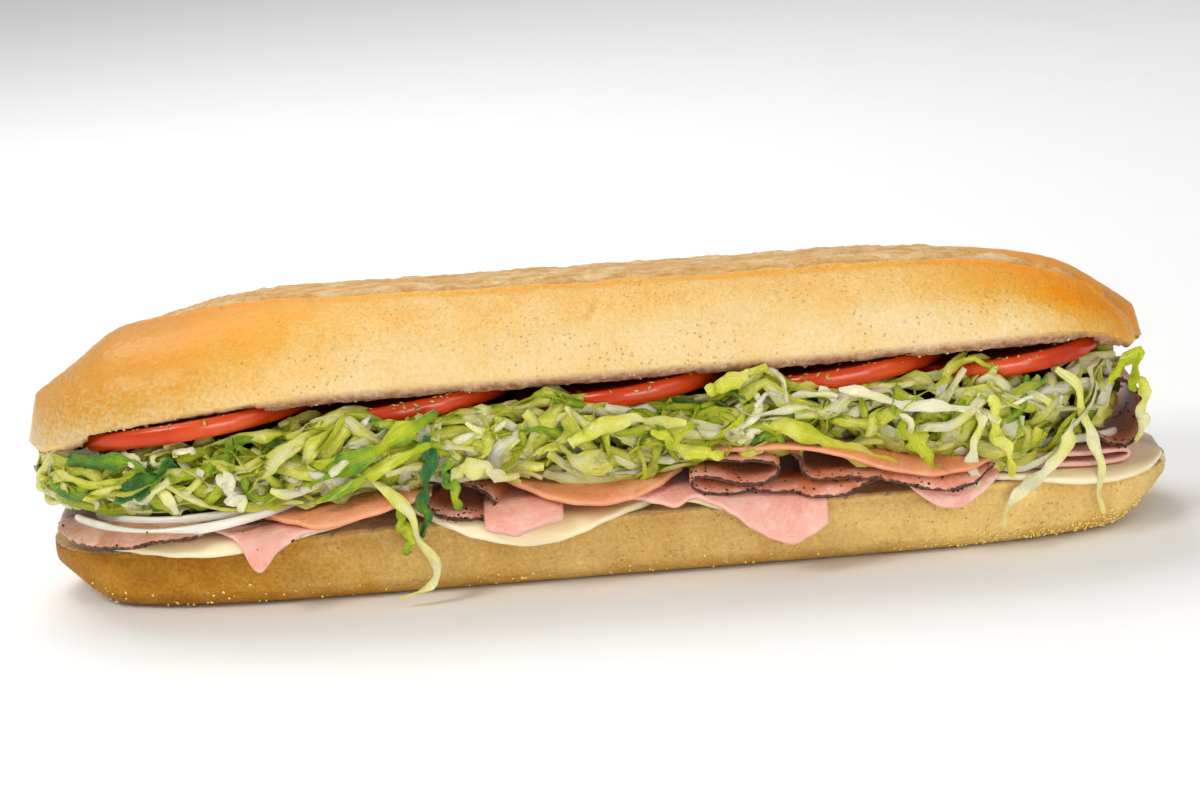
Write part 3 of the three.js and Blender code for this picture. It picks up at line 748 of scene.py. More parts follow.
# path: (x, height over the cut) along the slice; front and back: how far it reaches past the roll, along the path;
# wave: width and height of its unevenness; lift: how far its front rises; skew: how its folds run askew;
# ridge: x, half width, depth and slope of a fold in the part that hangs; step: length of a row
meats = {
    "smoked_ham": {
        "slot": "smoked_ham", "thick": 1.9, "wave": (20, 0.8),
        "path": [(-150, 5.4), (-147, 7), (-135, 7.9), (-112, 6.9), (-102, 5.4), (-96.5, 5.6)],
        "front": [3, 9, 11, 11, 10, 9, 4, -1], "back": [-3, 2, 4, 4, 3, 0], "lift": [0, 0.8, 1, 0.7, 0.4, 0.6],
    },
    "ham_pleat": {
        "slot": "ham", "thick": 1.5, "wave": (18, 0.3),
        "path": [(-106, 4.4), (-95, 4.1), (-82, 4.1), (-72, 4.4), (-67, 6.4), (-55.5, 6.7)],
        "front": [1, 5, 14.5, 9, 5.5, 5, 5, 4.5, 3], "back": [1, 3, 5, 3, 1, 0], "ridge": (-94.5, 7, 3.2, 0.1),
    },
    "salami_left": {
        "slot": "salami", "thick": 1.6, "wave": (22, 0.3),
        "path": [(-92, 6.6), (-76, 7.2), (-67, 8.9), (-56, 9.4), (-46.5, 9.1)],
        "front": [-1, 5, 9, 10, 9, 7, 3], "back": [0, 4, 6, 4, 0],
    },
    "pastrami_roll": {
        "slot": "pastrami", "thick": 1.0, "skew": 0.3, "wave": (14, 0.3), "step": 1.2,
        "path": [(-50, 6.6), (-46, 4.3), (-38, 4.0), (-31.6, 4.3), (-29.8, 7), (-33.5, 10),
                 (-40, 11.4), (-48, 11.8)],
        "front": [3, 5, 6, 5.5, 4, 2, 1, 0], "back": [0, 0],
    },
    "ham_fold": {
        "slot": "ham", "thick": 3.2, "wave": (14, 0.5), "step": 1.4,
        "path": [(-33.5, 4.9), (-27, 5.4), (-20, 5.7), (-12.5, 5.4)],
        "front": [9.5, 11.8, 14.1, 13.4, 11.2, 8.5], "back": [2, 4, 3], "lift": [0, 0.8, 1.5, 1.2, 0.3],
    },
    "salami_middle": {
        "slot": "salami", "thick": 1.7, "wave": (26, 0.3),
        "path": [(-30, 12), (-20, 10), (-5, 9.3), (9, 9.3), (20, 10.8)],
        "front": [-4, 3, 7.5, 9.5, 10, 9, 6, -2], "back": [-1, 5, 8, 5, -1],
    },
    "ham_flap": {
        "slot": "ham", "thick": 1.6, "wave": (17, 0.5), "step": 1.4,
        "path": [(2, 6.6), (20, 6.6), (29, 5.5), (38, 4.4), (57, 4.3)],
        "front": [2, 5.5, 8, 10.5, 7.5, 10, 12.5, 15.5, 18.5, 20, 18, 15], "back": [1, 4, 6, 3, 0],
        "lift": [0, 0.3, 0.6, 1.2, 1.0, 0.8, 0.8],
    },
    "pastrami_ribbon": {
        "slot": "pastrami", "thick": 0.95, "wave": (15, 0.35), "step": 1.2,
        "path": [(77, 6.9), (68, 6.4), (45, 6.3), (31, 7.6), (23.2, 8.6), (20.6, 10.8), (23.2, 12.6), (28, 11.6),
                 (34, 8.9), (41, 8.5), (45.5, 10.6), (44, 13.6), (37, 14.6), (28, 14.8)],
        "front": [2, 6, 9.5, 9, 7, 6.5, 8, 8, 7.5, 7, 7, 6.5, 6, 5], "back": [2, 4, 2, 1, 1, 1, 1],
        "skew": 0.05,
    },
    "pastrami_fold": {
        "slot": "pastrami", "thick": 0.95, "wave": (15, 0.4), "step": 1.3,
        "path": [(48, 15.2), (51.5, 13.6), (50.2, 11), (51.8, 8.8), (57, 8.2), (73, 8.6),
                 (82, 7.4), (91, 6.2), (102, 5.9)],
        "front": [5, 6, 6.5, 6.5, 8, 10, 11, 11, 9, 3], "back": [0, 0, 1, 3, 4, 2],
    },
    "salami_right": {
        "slot": "salami", "thick": 1.5, "wave": (24, 0.3),
        "path": [(20, 16.4), (36, 16.2), (47, 16.9), (57, 15.8), (67, 13.4), (79, 10.9), (91, 8.6), (104, 8.1)],
        "front": [-1, 3, 5, 6, 8, 10, 10.5, 8, 2], "back": [-1, 1, 3, 5, 4, 1],
    },
    "ham_right": {
        "slot": "ham", "thick": 1.5, "wave": (18, 0.4),
        "path": [(76, 5.9), (82, 4.1), (90, 3.8), (103, 3.8)],
        "front": [4, 9, 11.5, 12, 9, 4], "back": [1, 5, 2],
    },
    "ham_turned": {
        "slot": "ham", "thick": 1.5, "wave": (18, 0.3),
        "path": [(105, 3.8), (120, 3.5), (136, 3.6), (141.2, 4.2), (140.4, 6.1), (134, 6.3),
                 (120, 6.2), (106, 6.8)],
        "front": [-1, 0, 0, -1, -2, -1, 0, 1], "back": [-2, -2],
    },
    "pastrami_curl": {
        "slot": "pastrami", "thick": 1.0, "wave": (12, 0.4), "step": 1.2,
        "path": [(131, 10.6), (134.6, 8.2), (138.5, 7.8), (142.2, 9.6), (144.6, 13.6), (145, 18), (143.4, 22.6),
                 (139.6, 25.6), (133, 26.6)],
        "front": [-1, 0, 1, 0.5, -1, -2, -3, -5], "back": [-3, -2, -3, -6],
    },
}


cheese = cheeseMaterial()
for name, look in cheeses.items():
    front, back = (roundReach(look["radius"], look["middle"], hang) for hang in (look["hang"], -2))
    sheet = addSheet(name + "_slice", {"path": look["path"], "front": front, "back": back,
                                       "thick": 2, "step": 2.4, "wave": (30, 0.12)})
    settle(sheet, "cheese", cheese, name)
for name, look in meats.items():
    settle(addSheet(name + "_slice", look), look["slot"], meatFinishes[look["slot"]], name)
print("slices laid")

# arcs of onion: centre (x, y) and radii in mm, spread in degrees, height over the cut, fall at the edge
onions = {
    "onion_left": {"centre": (-108, 0), "radii": (40, 35.5), "spread": (207, 338), "height": 9.6, "fall": 1.6},
    "onion_middle": {"centre": (0, -6), "radii": (31, 26.5), "spread": (200, 336), "height": 11.6, "fall": 1.0},
    "onion_right": {"centre": (111, 2), "radii": (31, 26.5), "spread": (195, 330), "height": 9.4, "fall": 0.6},
}
# the cut face of a ring: how far out and up each corner of a plane goes
onionFace = {(-1, -1): (-0.9, -1.35), (1, -1): (0.9, -1.35), (1, 1): (1.15, 1.35), (-1, 1): (-0.7, 1.35)}


def buildOnion(name, look):
    rings = []
    for k, radius in enumerate(look["radii"]):
        start, end = (math.radians(a + 6 * k) for a in look["spread"])
        deselectAll()
        bpy.ops.mesh.primitive_plane_add(size=1)
        ring = bpy.context.object
        ring.name = f"{name}_ring_{k}"
        made = []
        for p in readPoints(ring.data):
            out, up = onionFace[(int(np.sign(p[0])), int(np.sign(p[1])))]
            made.append(((radius + out) * math.cos(start), (radius + out) * math.sin(start), up))
        writePoints(ring.data, np.array(made) * mm)
        makeActive(ring)
        bpy.ops.object.mode_set(mode="EDIT")
        bpy.ops.mesh.select_all(action="SELECT")
        bpy.ops.mesh.spin(steps=30, angle=-(end - start), center=(0, 0, 0), axis=(0, 0, 1))
        bpy.ops.mesh.select_all(action="SELECT")
        bpy.ops.mesh.remove_doubles(threshold=1e-6)
        bpy.ops.object.mode_set(mode="OBJECT")
        rings.append(ring)
    onion = joinPieces(*rings)
    onion.name = name + "_slice"
    points = readPoints(onion.data) / mm
    x = points[:, 0] + look["centre"][0]
    reach = points[:, 1] + look["centre"][1]
    here = np.stack([x, reach, points[:, 2]], 1)
    height = points[:, 2] + look["height"] + 0.8 * field(here, 30, 31)
    height = height - look["fall"] * ease(np.abs(reach), 26, 40)
    y, z = drape(x, reach, height)
    writePoints(onion.data, np.stack([x, y, z], 1) * mm)
    outward(onion)
    soften(onion, 2)
    smoothAll(onion)
    return onion


rawOnion = onionMaterial()
for name, look in onions.items():
    settle(buildOnion(name, look), "onion", rawOnion, name)
print("onion laid")


def tomatoMaterial():
    material, tree, shader = newMaterial("ripe_tomato")
    place = ownMap(tree)  # the slice's own face, 1 at its edge
    centre = tree.nodes.new("ShaderNodeVectorMath")
    centre.operation = "LENGTH"
    tree.links.new(place, centre.inputs[0])
    wall = addNoise(tree, 3.2, 3, 0.5, 0.3, place)
    radial = compute(tree, "ADD", centre.outputs["Value"], remap(tree, wall, 0.3, 0.7, -0.12, 0.12))
    gel = addRamp(tree, radial, [(0.1, (0.50, 0.09, 0.02)), (0.32, (0.52, 0.13, 0.02)),
                                 (0.6, (0.44, 0.055, 0.008)), (0.78, (0.40, 0.035, 0.006))])
    ring = compute(tree, "MULTIPLY", remap(tree, radial, 0.25, 0.32), remap(tree, radial, 0.68, 0.6))
    seed = compute(tree, "MULTIPLY", remap(tree, addSpots(tree, 9, place), 0.22, 0.12), ring)
    flesh = mixColours(tree, seed, gel, (0.74, 0.46, 0.16))
    skin = addRamp(tree, addNoise(tree, 45, 4), [(0.3, (0.46, 0.036, 0.004)), (0.55, (0.60, 0.066, 0.006)),
                                                 (0.75, (0.70, 0.13, 0.02))])
    side = addMask(tree, "skin")
    colour = mixColours(tree, side, flesh, skin)
    tree.links.new(colour, shader.inputs["Base Color"])
    tree.links.new(remap(tree, side, 0, 1, 0.2, 0.27), shader.inputs["Roughness"])
    setSockets(shader, {"Specular IOR Level": 0.4, "Coat Weight": 0.3, "Coat Roughness": 0.06,
                        **softLight(0.22, (1.0, 0.2, 0.08), 0.003)})
    grain = compute(tree, "MULTIPLY", addNoise(tree, 500, 5), remap(tree, side, 0, 1, 1, 0.3))
    addBump(tree, shader, grain, 0.0004, 0.5)
    return material


def buildTomato(slice):
    deselectAll()
    radius, thick = slice["radius"], tomatoLook["thick"]
    bpy.ops.mesh.primitive_cylinder_add(vertices=180, radius=radius * mm, depth=thick * mm)
    tomato = bpy.context.object
    tomato.name = slice["node"] + "_slice"
    bpy.ops.object.mode_set(mode="EDIT")
    bpy.ops.mesh.select_mode(type="FACE")
    bpy.ops.mesh.select_all(action="DESELECT")
    bpy.ops.object.mode_set(mode="OBJECT")
    for face in tomato.data.polygons:
        face.select = abs(face.normal.z) > 0.9
    bpy.ops.object.mode_set(mode="EDIT")
    for step in tomatoLook["rings"]:
        bpy.ops.mesh.inset(thickness=step * mm, use_individual=False)
    bpy.ops.mesh.select_all(action="DESELECT")
    bpy.ops.mesh.select_mode(type="EDGE")
    bpy.ops.object.mode_set(mode="OBJECT")
    # the side gets seven rings, so that it can bulge
    for edge in tomato.data.edges:
        a, b = (tomato.data.vertices[k].co for k in edge.vertices)
        edge.select = abs(a.z - b.z) > thick * mm * 0.9
    bpy.ops.object.mode_set(mode="EDIT")
    bpy.ops.mesh.subdivide(number_cuts=7)
    bpy.ops.object.mode_set(mode="OBJECT")
    points = readPoints(tomato.data) / mm
    angle = np.arctan2(points[:, 1], points[:, 0])
    away = np.hypot(points[:, 0], points[:, 1])
    lobes = 0.5 * np.sin(3 * angle + slice["x"]) + 0.3 * np.sin(5 * angle + slice["x"] * 2) - 0.5
    side = ease(away, radius - 0.9, radius - 0.2)
    level = points[:, 2] / (thick / 2)
    grown = away + lobes * away / radius + side * (0.4 * (1 - level ** 2) - 0.35 * np.abs(level) ** 6)
    sag = 0.12 * np.sin(2 * angle + slice["x"]) * (away / radius) ** 2
    cells = 0.12 * field(points, 5, slice["x"]) * (1 - side)
    rounded = 1 - 0.06 * ease(away, radius - 1.0, radius)
    local = np.stack([np.cos(angle) * grown, np.sin(angle) * grown, points[:, 2] * rounded + sag + cells], 1)
    # tilted up to the right like a shingle, then leaned back
    tilt = tomatoLook["tilt"]
    x = local[:, 0] * math.cos(tilt) - local[:, 2] * math.sin(tilt)
    y = local[:, 1]
    z = local[:, 0] * math.sin(tilt) + local[:, 2] * math.cos(tilt)
    worldY = y * math.cos(lean) + z * math.sin(lean)
    worldZ = -y * math.sin(lean) + z * math.cos(lean)
    centre = (slice["x"], slice["y"], slice["z"])
    writePoints(tomato.data, (np.stack([x, worldY, worldZ], 1) + centre) * mm)
    uv = tomato.data.uv_layers.active or tomato.data.uv_layers.new(name="UVMap")
    uv.name = "UVMap"
    for loop in tomato.data.loops:
        p = local[loop.vertex_index] / radius
        uv.data[loop.index].uv = (p[0], p[1])
    writeMask(tomato.data, "skin", side)
    outward(tomato)
    smoothAll(tomato)
    return tomato


ripeTomato = tomatoMaterial()
for slice in tomatoes:
    settle(buildTomato(slice), "tomato", ripeTomato, slice["node"])
print("tomato laid")

# the lettuce bed, in mm: its outline from above, and (x, height) along its top and bottom at the front
lettuce = {
    "middle": -8.5, "length": 287, "wide": 35.5,
    "outMost": 45.4,  # no shred lies farther from the middle line
    "ends": (-155.2, 149),
    "leftStop": (-152, 3.8),  # past this x, shreds are bent back within so much of it
    "top": [(-156, 38), (-140, 41.5), (-110, 44.5), (-80, 48), (-68, 51.5), (-60, 48.5), (-44, 47), (-28, 48),
            (-15, 52.5), (-5, 48.5), (6, 46), (28, 46), (37, 50), (43, 54), (49, 49.5), (68, 46), (88, 47),
            (98, 52.5), (106, 47), (120, 44.5), (133, 46), (150, 45)],
    "bottom": [(-156, 31.8), (-135, 30.2), (-98, 30), (-57, 32), (-29, 35), (-13, 32), (9, 30), (20, 33.5),
               (53, 34.5), (70, 32), (84, 28.5), (95, 25.5), (106, 25), (122, 27), (134, 31), (150, 33)],
}
nearTurn = 6.3  # about one turn in radians, for the shreds' waviness


def lettuceWidth(x):
    share = np.minimum(np.abs(2 * (x - lettuce["middle"]) / lettuce["length"]), 0.9995)
    return lettuce["wide"] * np.sqrt(1 - share ** np.where(x < 0, 5, 9))


# the outline seen from above, once round from the left end by the front
turn = np.linspace(0, 2 * math.pi, 721)
outlineX = lettuce["middle"] - lettuce["length"] / 2 * np.cos(turn)
outlineY = -np.sign(np.sin(turn) + 1e-9) * lettuceWidth(outlineX)
outlineRun = np.concatenate([[0], np.cumsum(np.hypot(np.diff(outlineX), np.diff(outlineY)))])


def outlineAt(run):
    run = np.mod(run, outlineRun[-1])
    return np.interp(run, outlineRun, outlineX), np.interp(run, outlineRun, outlineY)


# a place so far along the outline and so far out from it, and the way out there
def onOutline(run, out):
    x, y = outlineAt(run)
    run = np.mod(run, outlineRun[-1])
    aheadX, aheadY = outlineAt(run + 2)
    behindX, behindY = outlineAt(run - 2)
    dx, dy = aheadX - behindX, aheadY - behindY
    size = np.hypot(dx, dy) + 1e-9
    nx, ny = dy / size, -dx / size
    return x + nx * out, y + ny * out, nx, ny


# ribbons along lines (piece, row, xyz), each a closed thin solid, all in one mesh
def ribbonMesh(name, lines, outs, widths, thick, roll, cup, ruffle, tones, rng, edgeGreen):
    count, rows, _ = lines.shape
    run = np.linspace(0, 1, rows)
    tangent = unit(np.gradient(lines, axis=1), 1e-9)
    across = unit(np.cross(outs, tangent), 1e-9)
    face = np.cross(tangent, across)
    cos, sin = np.cos(roll)[..., None], np.sin(roll)[..., None]
    wideWay = cos * across + sin * face
    thickWay = -sin * across + cos * face
    columns = [(-1, 0), (-0.5, 1), (0, 1), (0.5, 1), (1, 0), (0.5, -1), (0, -1), (-0.5, -1)]
    jitter = 1 + 0.6 * (rng.random((count, rows, 2)) - 0.5)
    jitter[:, 1:-1] = (jitter[:, :-2] + 2 * jitter[:, 1:-1] + jitter[:, 2:]) / 4
    waves = rng.uniform(1.5, 4.5, (count, 1)), rng.uniform(0, nearTurn, (count, 2))
    points = np.empty((count, rows, len(columns), 3))
    tone = np.empty((count, rows, len(columns)))
    flatPlace = np.empty((count, rows, len(columns), 2))
    for k, (c, side) in enumerate(columns):
        half = widths / 2 * jitter[..., 0 if c < 0 else 1]
        wave = np.sin(run[None, :] * waves[0] * 2 * math.pi + waves[1][:, [0 if c < 0 else 1]])
        bend = cup[:, None] * (c * c - 0.35) * widths + ruffle[:, None] * wave * abs(c) ** 1.5
        lifted = bend + side * thick / 2
        points[:, :, k] = lines + wideWay * (c * half)[..., None] + thickWay * lifted[..., None]
        tone[:, :, k] = tones + edgeGreen * (abs(c) - 0.5)
        flatPlace[:, :, k, 0] = c * widths / 2
        flatPlace[:, :, k, 1] = run[None, :] * 30
    around = len(columns)
    base = (np.arange(count) * rows * around)[:, None, None] + (np.arange(rows - 1) * around)[None, :, None]
    here, following = np.arange(around), (np.arange(around) + 1) % around
    quads = np.stack([here, following, around + following, around + here], -1) + base[..., None]
    starts = (np.arange(count) * rows * around)[:, None]
    ends = starts + (rows - 1) * around
    capOrder = [(0, 7, 1), (1, 7, 6, 2), (2, 6, 5, 3), (3, 5, 4)]
    faces = quads.reshape(-1, 4).tolist()
    for start, end in zip(starts[:, 0].tolist(), ends[:, 0].tolist()):
        for cap in capOrder:
            faces.append([start + k for k in cap])
            faces.append([end + k for k in reversed(cap)])
    flatPoints = points.reshape(-1, 3)
    stop, give = lettuce["leftStop"]
    over = np.maximum(stop - flatPoints[:, 0], 0)
    flatPoints[:, 0] = np.where(over > 0, stop - give * (1 - np.exp(-over / give)), flatPoints[:, 0])
    piece = meshPiece(name, flatPoints, faces)
    mesh = piece.data
    writeMask(mesh, "tone", np.clip(tone.reshape(-1), 0, 1))
    index = np.empty(len(mesh.loops), int)
    mesh.loops.foreach_get("vertex_index", index)
    uv = mesh.uv_layers.new(name="UVMap")
    uv.data.foreach_set("uv", flatPlace.reshape(-1, 2)[index].ravel())
    outward(piece)
    crispEdges(piece, 52)
    return piece


def keepInside(points):
    points[..., 0] = np.clip(points[..., 0], *lettuce["ends"])
    points[..., 1] = np.clip(points[..., 1], -lettuce["outMost"] + 1.5, lettuce["outMost"] - 6)
    return points


def scatterStrands(name, look):
    rng = np.random.default_rng(look["seed"])
    count, rows = look["count"], 15
    length = rng.uniform(*look["length"], count)
    heading = rng.normal(0, look["steep"], count) + np.where(rng.random(count) < 0.5, math.pi, 0)
    curl = rng.normal(0, look["curl"], count)
    sway = rng.normal(0, 0.45, count)
    run = np.linspace(0, 1, rows)[None, :]
    angle = heading[:, None] + curl[:, None] * (run - 0.5)
    angle = angle + sway[:, None] * np.sin(nearTurn * (run + rng.random((count, 1))))
    angle = angle + 0.2 * np.sin(nearTurn * (run * rng.uniform(1.5, 3.5, (count, 1)) + rng.random((count, 1))))
    step = length[:, None] / (rows - 1)
    startRun = rng.uniform(0, outlineRun[-1], count)[:, None]
    half = length[:, None] / 2
    alongRun = startRun + np.cumsum(np.cos(angle) * step, 1) - np.cos(angle).mean(1, keepdims=True) * half
    x, _, _, _ = onOutline(alongRun, 0)
    top = readTable(x, lettuce["top"])
    bottom = readTable(x, lettuce["bottom"])
    level = rng.beta(1.0, 1.15, count)[:, None]
    height = bottom + (top - bottom) * level
    height = height + np.cumsum(np.sin(angle) * step, 1) - np.sin(angle).mean(1, keepdims=True) * half
    share = (height - bottom) / (top - bottom)
    # past the bed's top and bottom the shreds are eased back, and some hang lower
    low = np.where(rng.random((count, 1)) < 0.12, 0.45, 0.12)
    high = 0.06
    share = np.where(share < 0, -low * (1 - np.exp(share / low)), share)
    share = np.where(share > 1, 1 + high * (1 - np.exp(-(share - 1) / high)), share)
    height = bottom + (top - bottom) * share
    depth = rng.beta(look["outer"], 1.1, count)[:, None] * 11 - 9.5
    belly = 4.0 * np.sin(np.clip(share, 0, 1) * math.pi * 0.8 + 0.25)
    swing = rng.uniform(0.5, 2.6, (count, 1))
    swing = swing * np.sin(nearTurn * (run * rng.uniform(0.5, 1.3, (count, 1)) + rng.random((count, 1))))
    out = np.minimum(depth + belly + swing, 7.4)
    x, y, nx, ny = onOutline(alongRun, out)
    lines = keepInside(np.stack([x, y, height], 2))
    outs = np.stack([nx, ny, np.full_like(nx, 0.25)], 2)
    width = rng.uniform(*look["width"], count)[:, None]
    profile = np.sin(math.pi * np.clip(run * 0.94 + 0.03, 0, 1)) ** look["taper"]
    lumps = np.sin(nearTurn * (run * rng.uniform(1, 3, (count, 1)) + rng.random((count, 1))))
    widths = width * profile * (1 + look["uneven"] * lumps)
    turnStart = rng.normal(0, look["turned"], count)[:, None]
    twist = rng.normal(0, look["twist"], count)[:, None]
    # painted light: shreds at the right front are made paler, as if lit more there
    paintedLightRight = 0.02 + 0.06 * ease(x, 30, 95) * (y < 0)
    tones = rng.normal(*look["tone"], count)[:, None] - paintedLightRight + rng.normal(0, 0.3, (count, 1)) * (run - 0.5)
    cup, ruffle = rng.normal(0.0, look["cup"], count), rng.uniform(0, look["ruffle"], count)
    return ribbonMesh(name, lines, outs, widths, look["thick"], turnStart + twist * (run - 0.5),
                      cup, ruffle, np.clip(tones, 0, 1), rng, look["edge"])


def longStrand(line, out, width, tone, roll, twist=1.3, cup=0.12):
    return {"line": line, "out": out, "width": width, "tone": tone, "roll": roll, "twist": twist, "cup": cup}


# shreds that stand out: line (x, z), how far out it starts and ends, width, tone (0 white, 1 dark green), roll
longStrands = [
    longStrand([(-78, 35), (-69.6, 39), (-60, 43.4), (-51.6, 47.8), (-44, 51.5)], (7, 8), 6.5, 0.72, 0.2),
    longStrand([(-76, 30.5), (-65, 35), (-50.7, 42), (-45, 44.4)], (8, 8), 4, 0.6, -0.3),
    longStrand([(-131, 33.5), (-125, 35.4), (-118, 39.7), (-113.6, 43.8)], (6, 7), 8, 0.95, 0.2),
    longStrand([(-144, 41), (-135.6, 43), (-124.6, 43), (-118, 39.7)], (5, 7), 5.5, 0.88, 0.4),
    longStrand([(-45.7, 45.8), (-47, 36), (-48.6, 26.2), (-49.8, 18.7)], (7, 8), 4.6, 0.98, 0.5),
    longStrand([(-42.8, 38.5), (-41.8, 32.7), (-38.8, 26)], (8, 9), 3.6, 0.8, -0.4),
    longStrand([(-64.8, 37.5), (-58.3, 32.7), (-53.4, 25.2), (-49.8, 17.8), (-46, 11), (-47, 6),
                (-52, 3.6), (-57, 2.6)], (8, 9.3), 3.6, 0.2, 0.3, twist=2.6),
    longStrand([(-56, 27), (-53.7, 21), (-53.2, 15)], (8, 9), 4, 0.7, -0.2),
    longStrand([(62.3, 49.6), (72.9, 45.9), (86.4, 42.5),
                (98.6, 40.3)], (7, 8.5), 3.4, 0.02, 0.2, twist=0.4, cup=0.2),
    longStrand([(-41.7, 34.2), (-34.6, 37.3), (-28, 34.4), (-24, 33.2)], (7, 8.5), 5.5, 0.12, 0.3, cup=0.25),
    longStrand([(42.4, 42.3), (53, 38), (66, 31.5), (75.5, 27)], (6, 8), 6.5, 0.38, 0.4, cup=0.2),
    longStrand([(75.7, 46), (79, 38), (81.3, 31.6), (86.2, 25.6)], (6, 8), 6.5, 0.6, -0.2, cup=0.2),
    longStrand([(119.7, 47.7), (125.2, 41.5), (128.7, 29.9), (130, 18.4), (130.7, 7.5)], (3, 8), 3.4, 0.14, 0.2),
    longStrand([(124.6, 34), (119.2, 24.4), (111.9, 18.5), (103.9, 14.4), (103, 8.8)], (5, 9), 4.2, 0.08, 0.3),
    longStrand([(98.9, 45), (97.3, 35.3), (95.4, 24.2), (95.9, 17)], (8, 8.6), 3.3, 0.1, -0.2),
    longStrand([(100.7, 43.6), (103.4, 32), (106.8, 22)], (8, 9), 4, 0.3, 0.4),
    longStrand([(134.6, 41), (139.5, 46.2), (143.5, 48.7), (143, 42.3), (141, 36.8)], (3, 4), 3.6, 0.6, 0.2),
    longStrand([(143, 42), (145, 35), (144, 28), (141, 24)], (4, 5), 3.4, 0.2, 0.2),
    longStrand([(-137, 35.6), (-146, 38.5), (-152, 36), (-154, 30.5)], (4, 3), 4.4, 0.4, 0.3),
    longStrand([(-136, 30), (-145, 29), (-154.5, 28.2)], (4, 3), 4.2, 0.12, 0.2),
    longStrand([(-132, 38.8), (-143, 42.2), (-152, 41)], (3, 3), 3.8, 0.55, -0.3),
    longStrand([(-101.7, 39.5), (-98, 34), (-96, 29.5)], (8, 8.5), 5, 0.03, 0.2, cup=0.2),
    longStrand([(-9.7, 40), (-1, 45), (10, 46.9), (20.7, 43)], (7, 8), 6, 0.3, 0.4),
    longStrand([(12.4, 42.4), (22.7, 34.5), (31, 35.2)], (8, 8), 4.5, 0.45, -0.4),
    longStrand([(26.8, 50), (36.6, 54), (43.7, 56.5)], (3, 3), 5, 0.4, 0.3),
    longStrand([(1, 2), (12, 1.6), (23, 1.8), (34, 2.4)], (-3.4, -3.8), 1.6, 0.75, 1.3),
]


def buildLongStrands():
    rng = np.random.default_rng(5)
    rows = 26
    lines, outs, widths, rolls, tones, cups = [], [], [], [], [], []
    run = np.linspace(0, 1, rows)
    for strand in longStrands:
        line, _ = roundedLine(strand["line"], rows)
        wide = np.where(line[:, 0] > 90, halfWidth(line[:, 0]) - 1.5, lettuceWidth(line[:, 0]))
        y = -(wide + np.linspace(*strand["out"], rows) - 0.8 + 0.6 * np.sin(run * 9 + line[0, 0]))
        sway = 0.7 * np.sin(run * 11 + line[0, 0]) + 0.35 * np.sin(run * 23 + line[0, 1])
        lines.append(np.stack([line[:, 0] + sway, y, line[:, 1] + 0.6 * sway], 1))
        outs.append(np.tile((0, -1, 0.2), (rows, 1)))
        uneven = 0.8 + 0.2 * np.sin(run * 14 + line[0, 0]) + 0.12 * np.sin(run * 31 + line[0, 1])
        widths.append(strand["width"] * np.sin(math.pi * np.clip(run * 0.92 + 0.04, 0, 1)) ** 0.25 * uneven)
        rolls.append(strand["roll"] + strand["twist"] * (run - 0.5) + 0.3 * np.sin(run * 8 + line[0, 0]))
        tones.append(np.full(rows, strand["tone"]) + 0.08 * np.sin(run * 7))
        cups.append(strand["cup"])
    ruffles = np.array([0.14 * strand["width"] for strand in longStrands])
    return ribbonMesh("lettuce_long_strands", keepInside(np.array(lines)), np.array(outs), np.array(widths), 0.7,
                      np.array(rolls), np.array(cups), ruffles, np.array(tones), rng, 0.12)


# the inside of the bed, painted dark as the shade seen between the shreds
def buildLettuceShadeCore():
    blank, along, around = addBlank("lettuce_shade_core", 96, 150)
    x = lettuce["middle"] - (lettuce["length"] / 2 - 9) * np.cos(np.pi * along)
    turned = 2 * np.pi * around
    low = readTable(x, lettuce["bottom"]) - 1
    high = readTable(x, lettuce["top"]) - 3.5
    wide = np.maximum(lettuceWidth(x) - 6, 1)
    y = -np.sign(np.cos(turned)) * wide * np.abs(np.cos(turned)) ** 0.6
    arch = np.sign(np.sin(turned)) * np.abs(np.sin(turned)) ** 0.6 * np.sin(np.pi * along) ** 0.35
    z = (low + high) / 2 + (high - low) / 2 * arch
    here = np.stack([x, y, z], 1)
    y = y + 1.3 * field(here, 6, 41) * np.sign(y)
    z = z + 0.8 * field(here, 7, 42)
    writePoints(blank.data, np.stack([x, y, z], 1) * mm)
    writeMask(blank.data, "tone", 0.62 + 0.3 * field(here, 5, 43))
    outward(blank)
    smoothAll(blank)
    return blank


def lettuceMaterial(name, stops, wet):
    material, tree, shader = newMaterial(name)
    vein = addNoise(tree, 1.4, 4, 0.6, 0.5, stretched(tree, (1.6, 0.12, 1), ownMap(tree)))
    cloud = addNoise(tree, 130, 4)
    tone = compute(tree, "ADD", addMask(tree, "tone"), remap(tree, vein, 0.35, 0.65, -0.05, 0.05))
    tone = compute(tree, "ADD", tone, remap(tree, cloud, 0.3, 0.7, -0.16, 0.16), clamp=True)
    colour = addRamp(tree, tone, stops)
    tree.links.new(colour, shader.inputs["Base Color"])
    tree.links.new(remap(tree, cloud, 0.3, 0.7, wet, wet + 0.16), shader.inputs["Roughness"])
    setSockets(shader, {"Coat Weight": 0.25, "Coat Roughness": 0.12, **softLight(0.5, (0.9, 1.0, 0.3), 0.003)})
    relief = compute(tree, "MULTIPLY", vein, 0.5)
    relief = compute(tree, "ADD", relief, addNoise(tree, 360, 6, 0.65, 0.6))
    addBump(tree, shader, relief, 0.0016, 0.8)
    return material


leafStops = [(0.0, (0.94, 0.91, 0.58)), (0.16, (0.91, 0.88, 0.33)), (0.36, (0.78, 0.78, 0.09)),
             (0.58, (0.50, 0.57, 0.015)), (0.82, (0.17, 0.34, 0.008)), (1.0, (0.03, 0.16, 0.04))]
# painted shade: the dark colours of the bed's inside
shadeStops = [(0.0, (0.15, 0.15, 0.015)), (1.0, (0.05, 0.055, 0.006))]

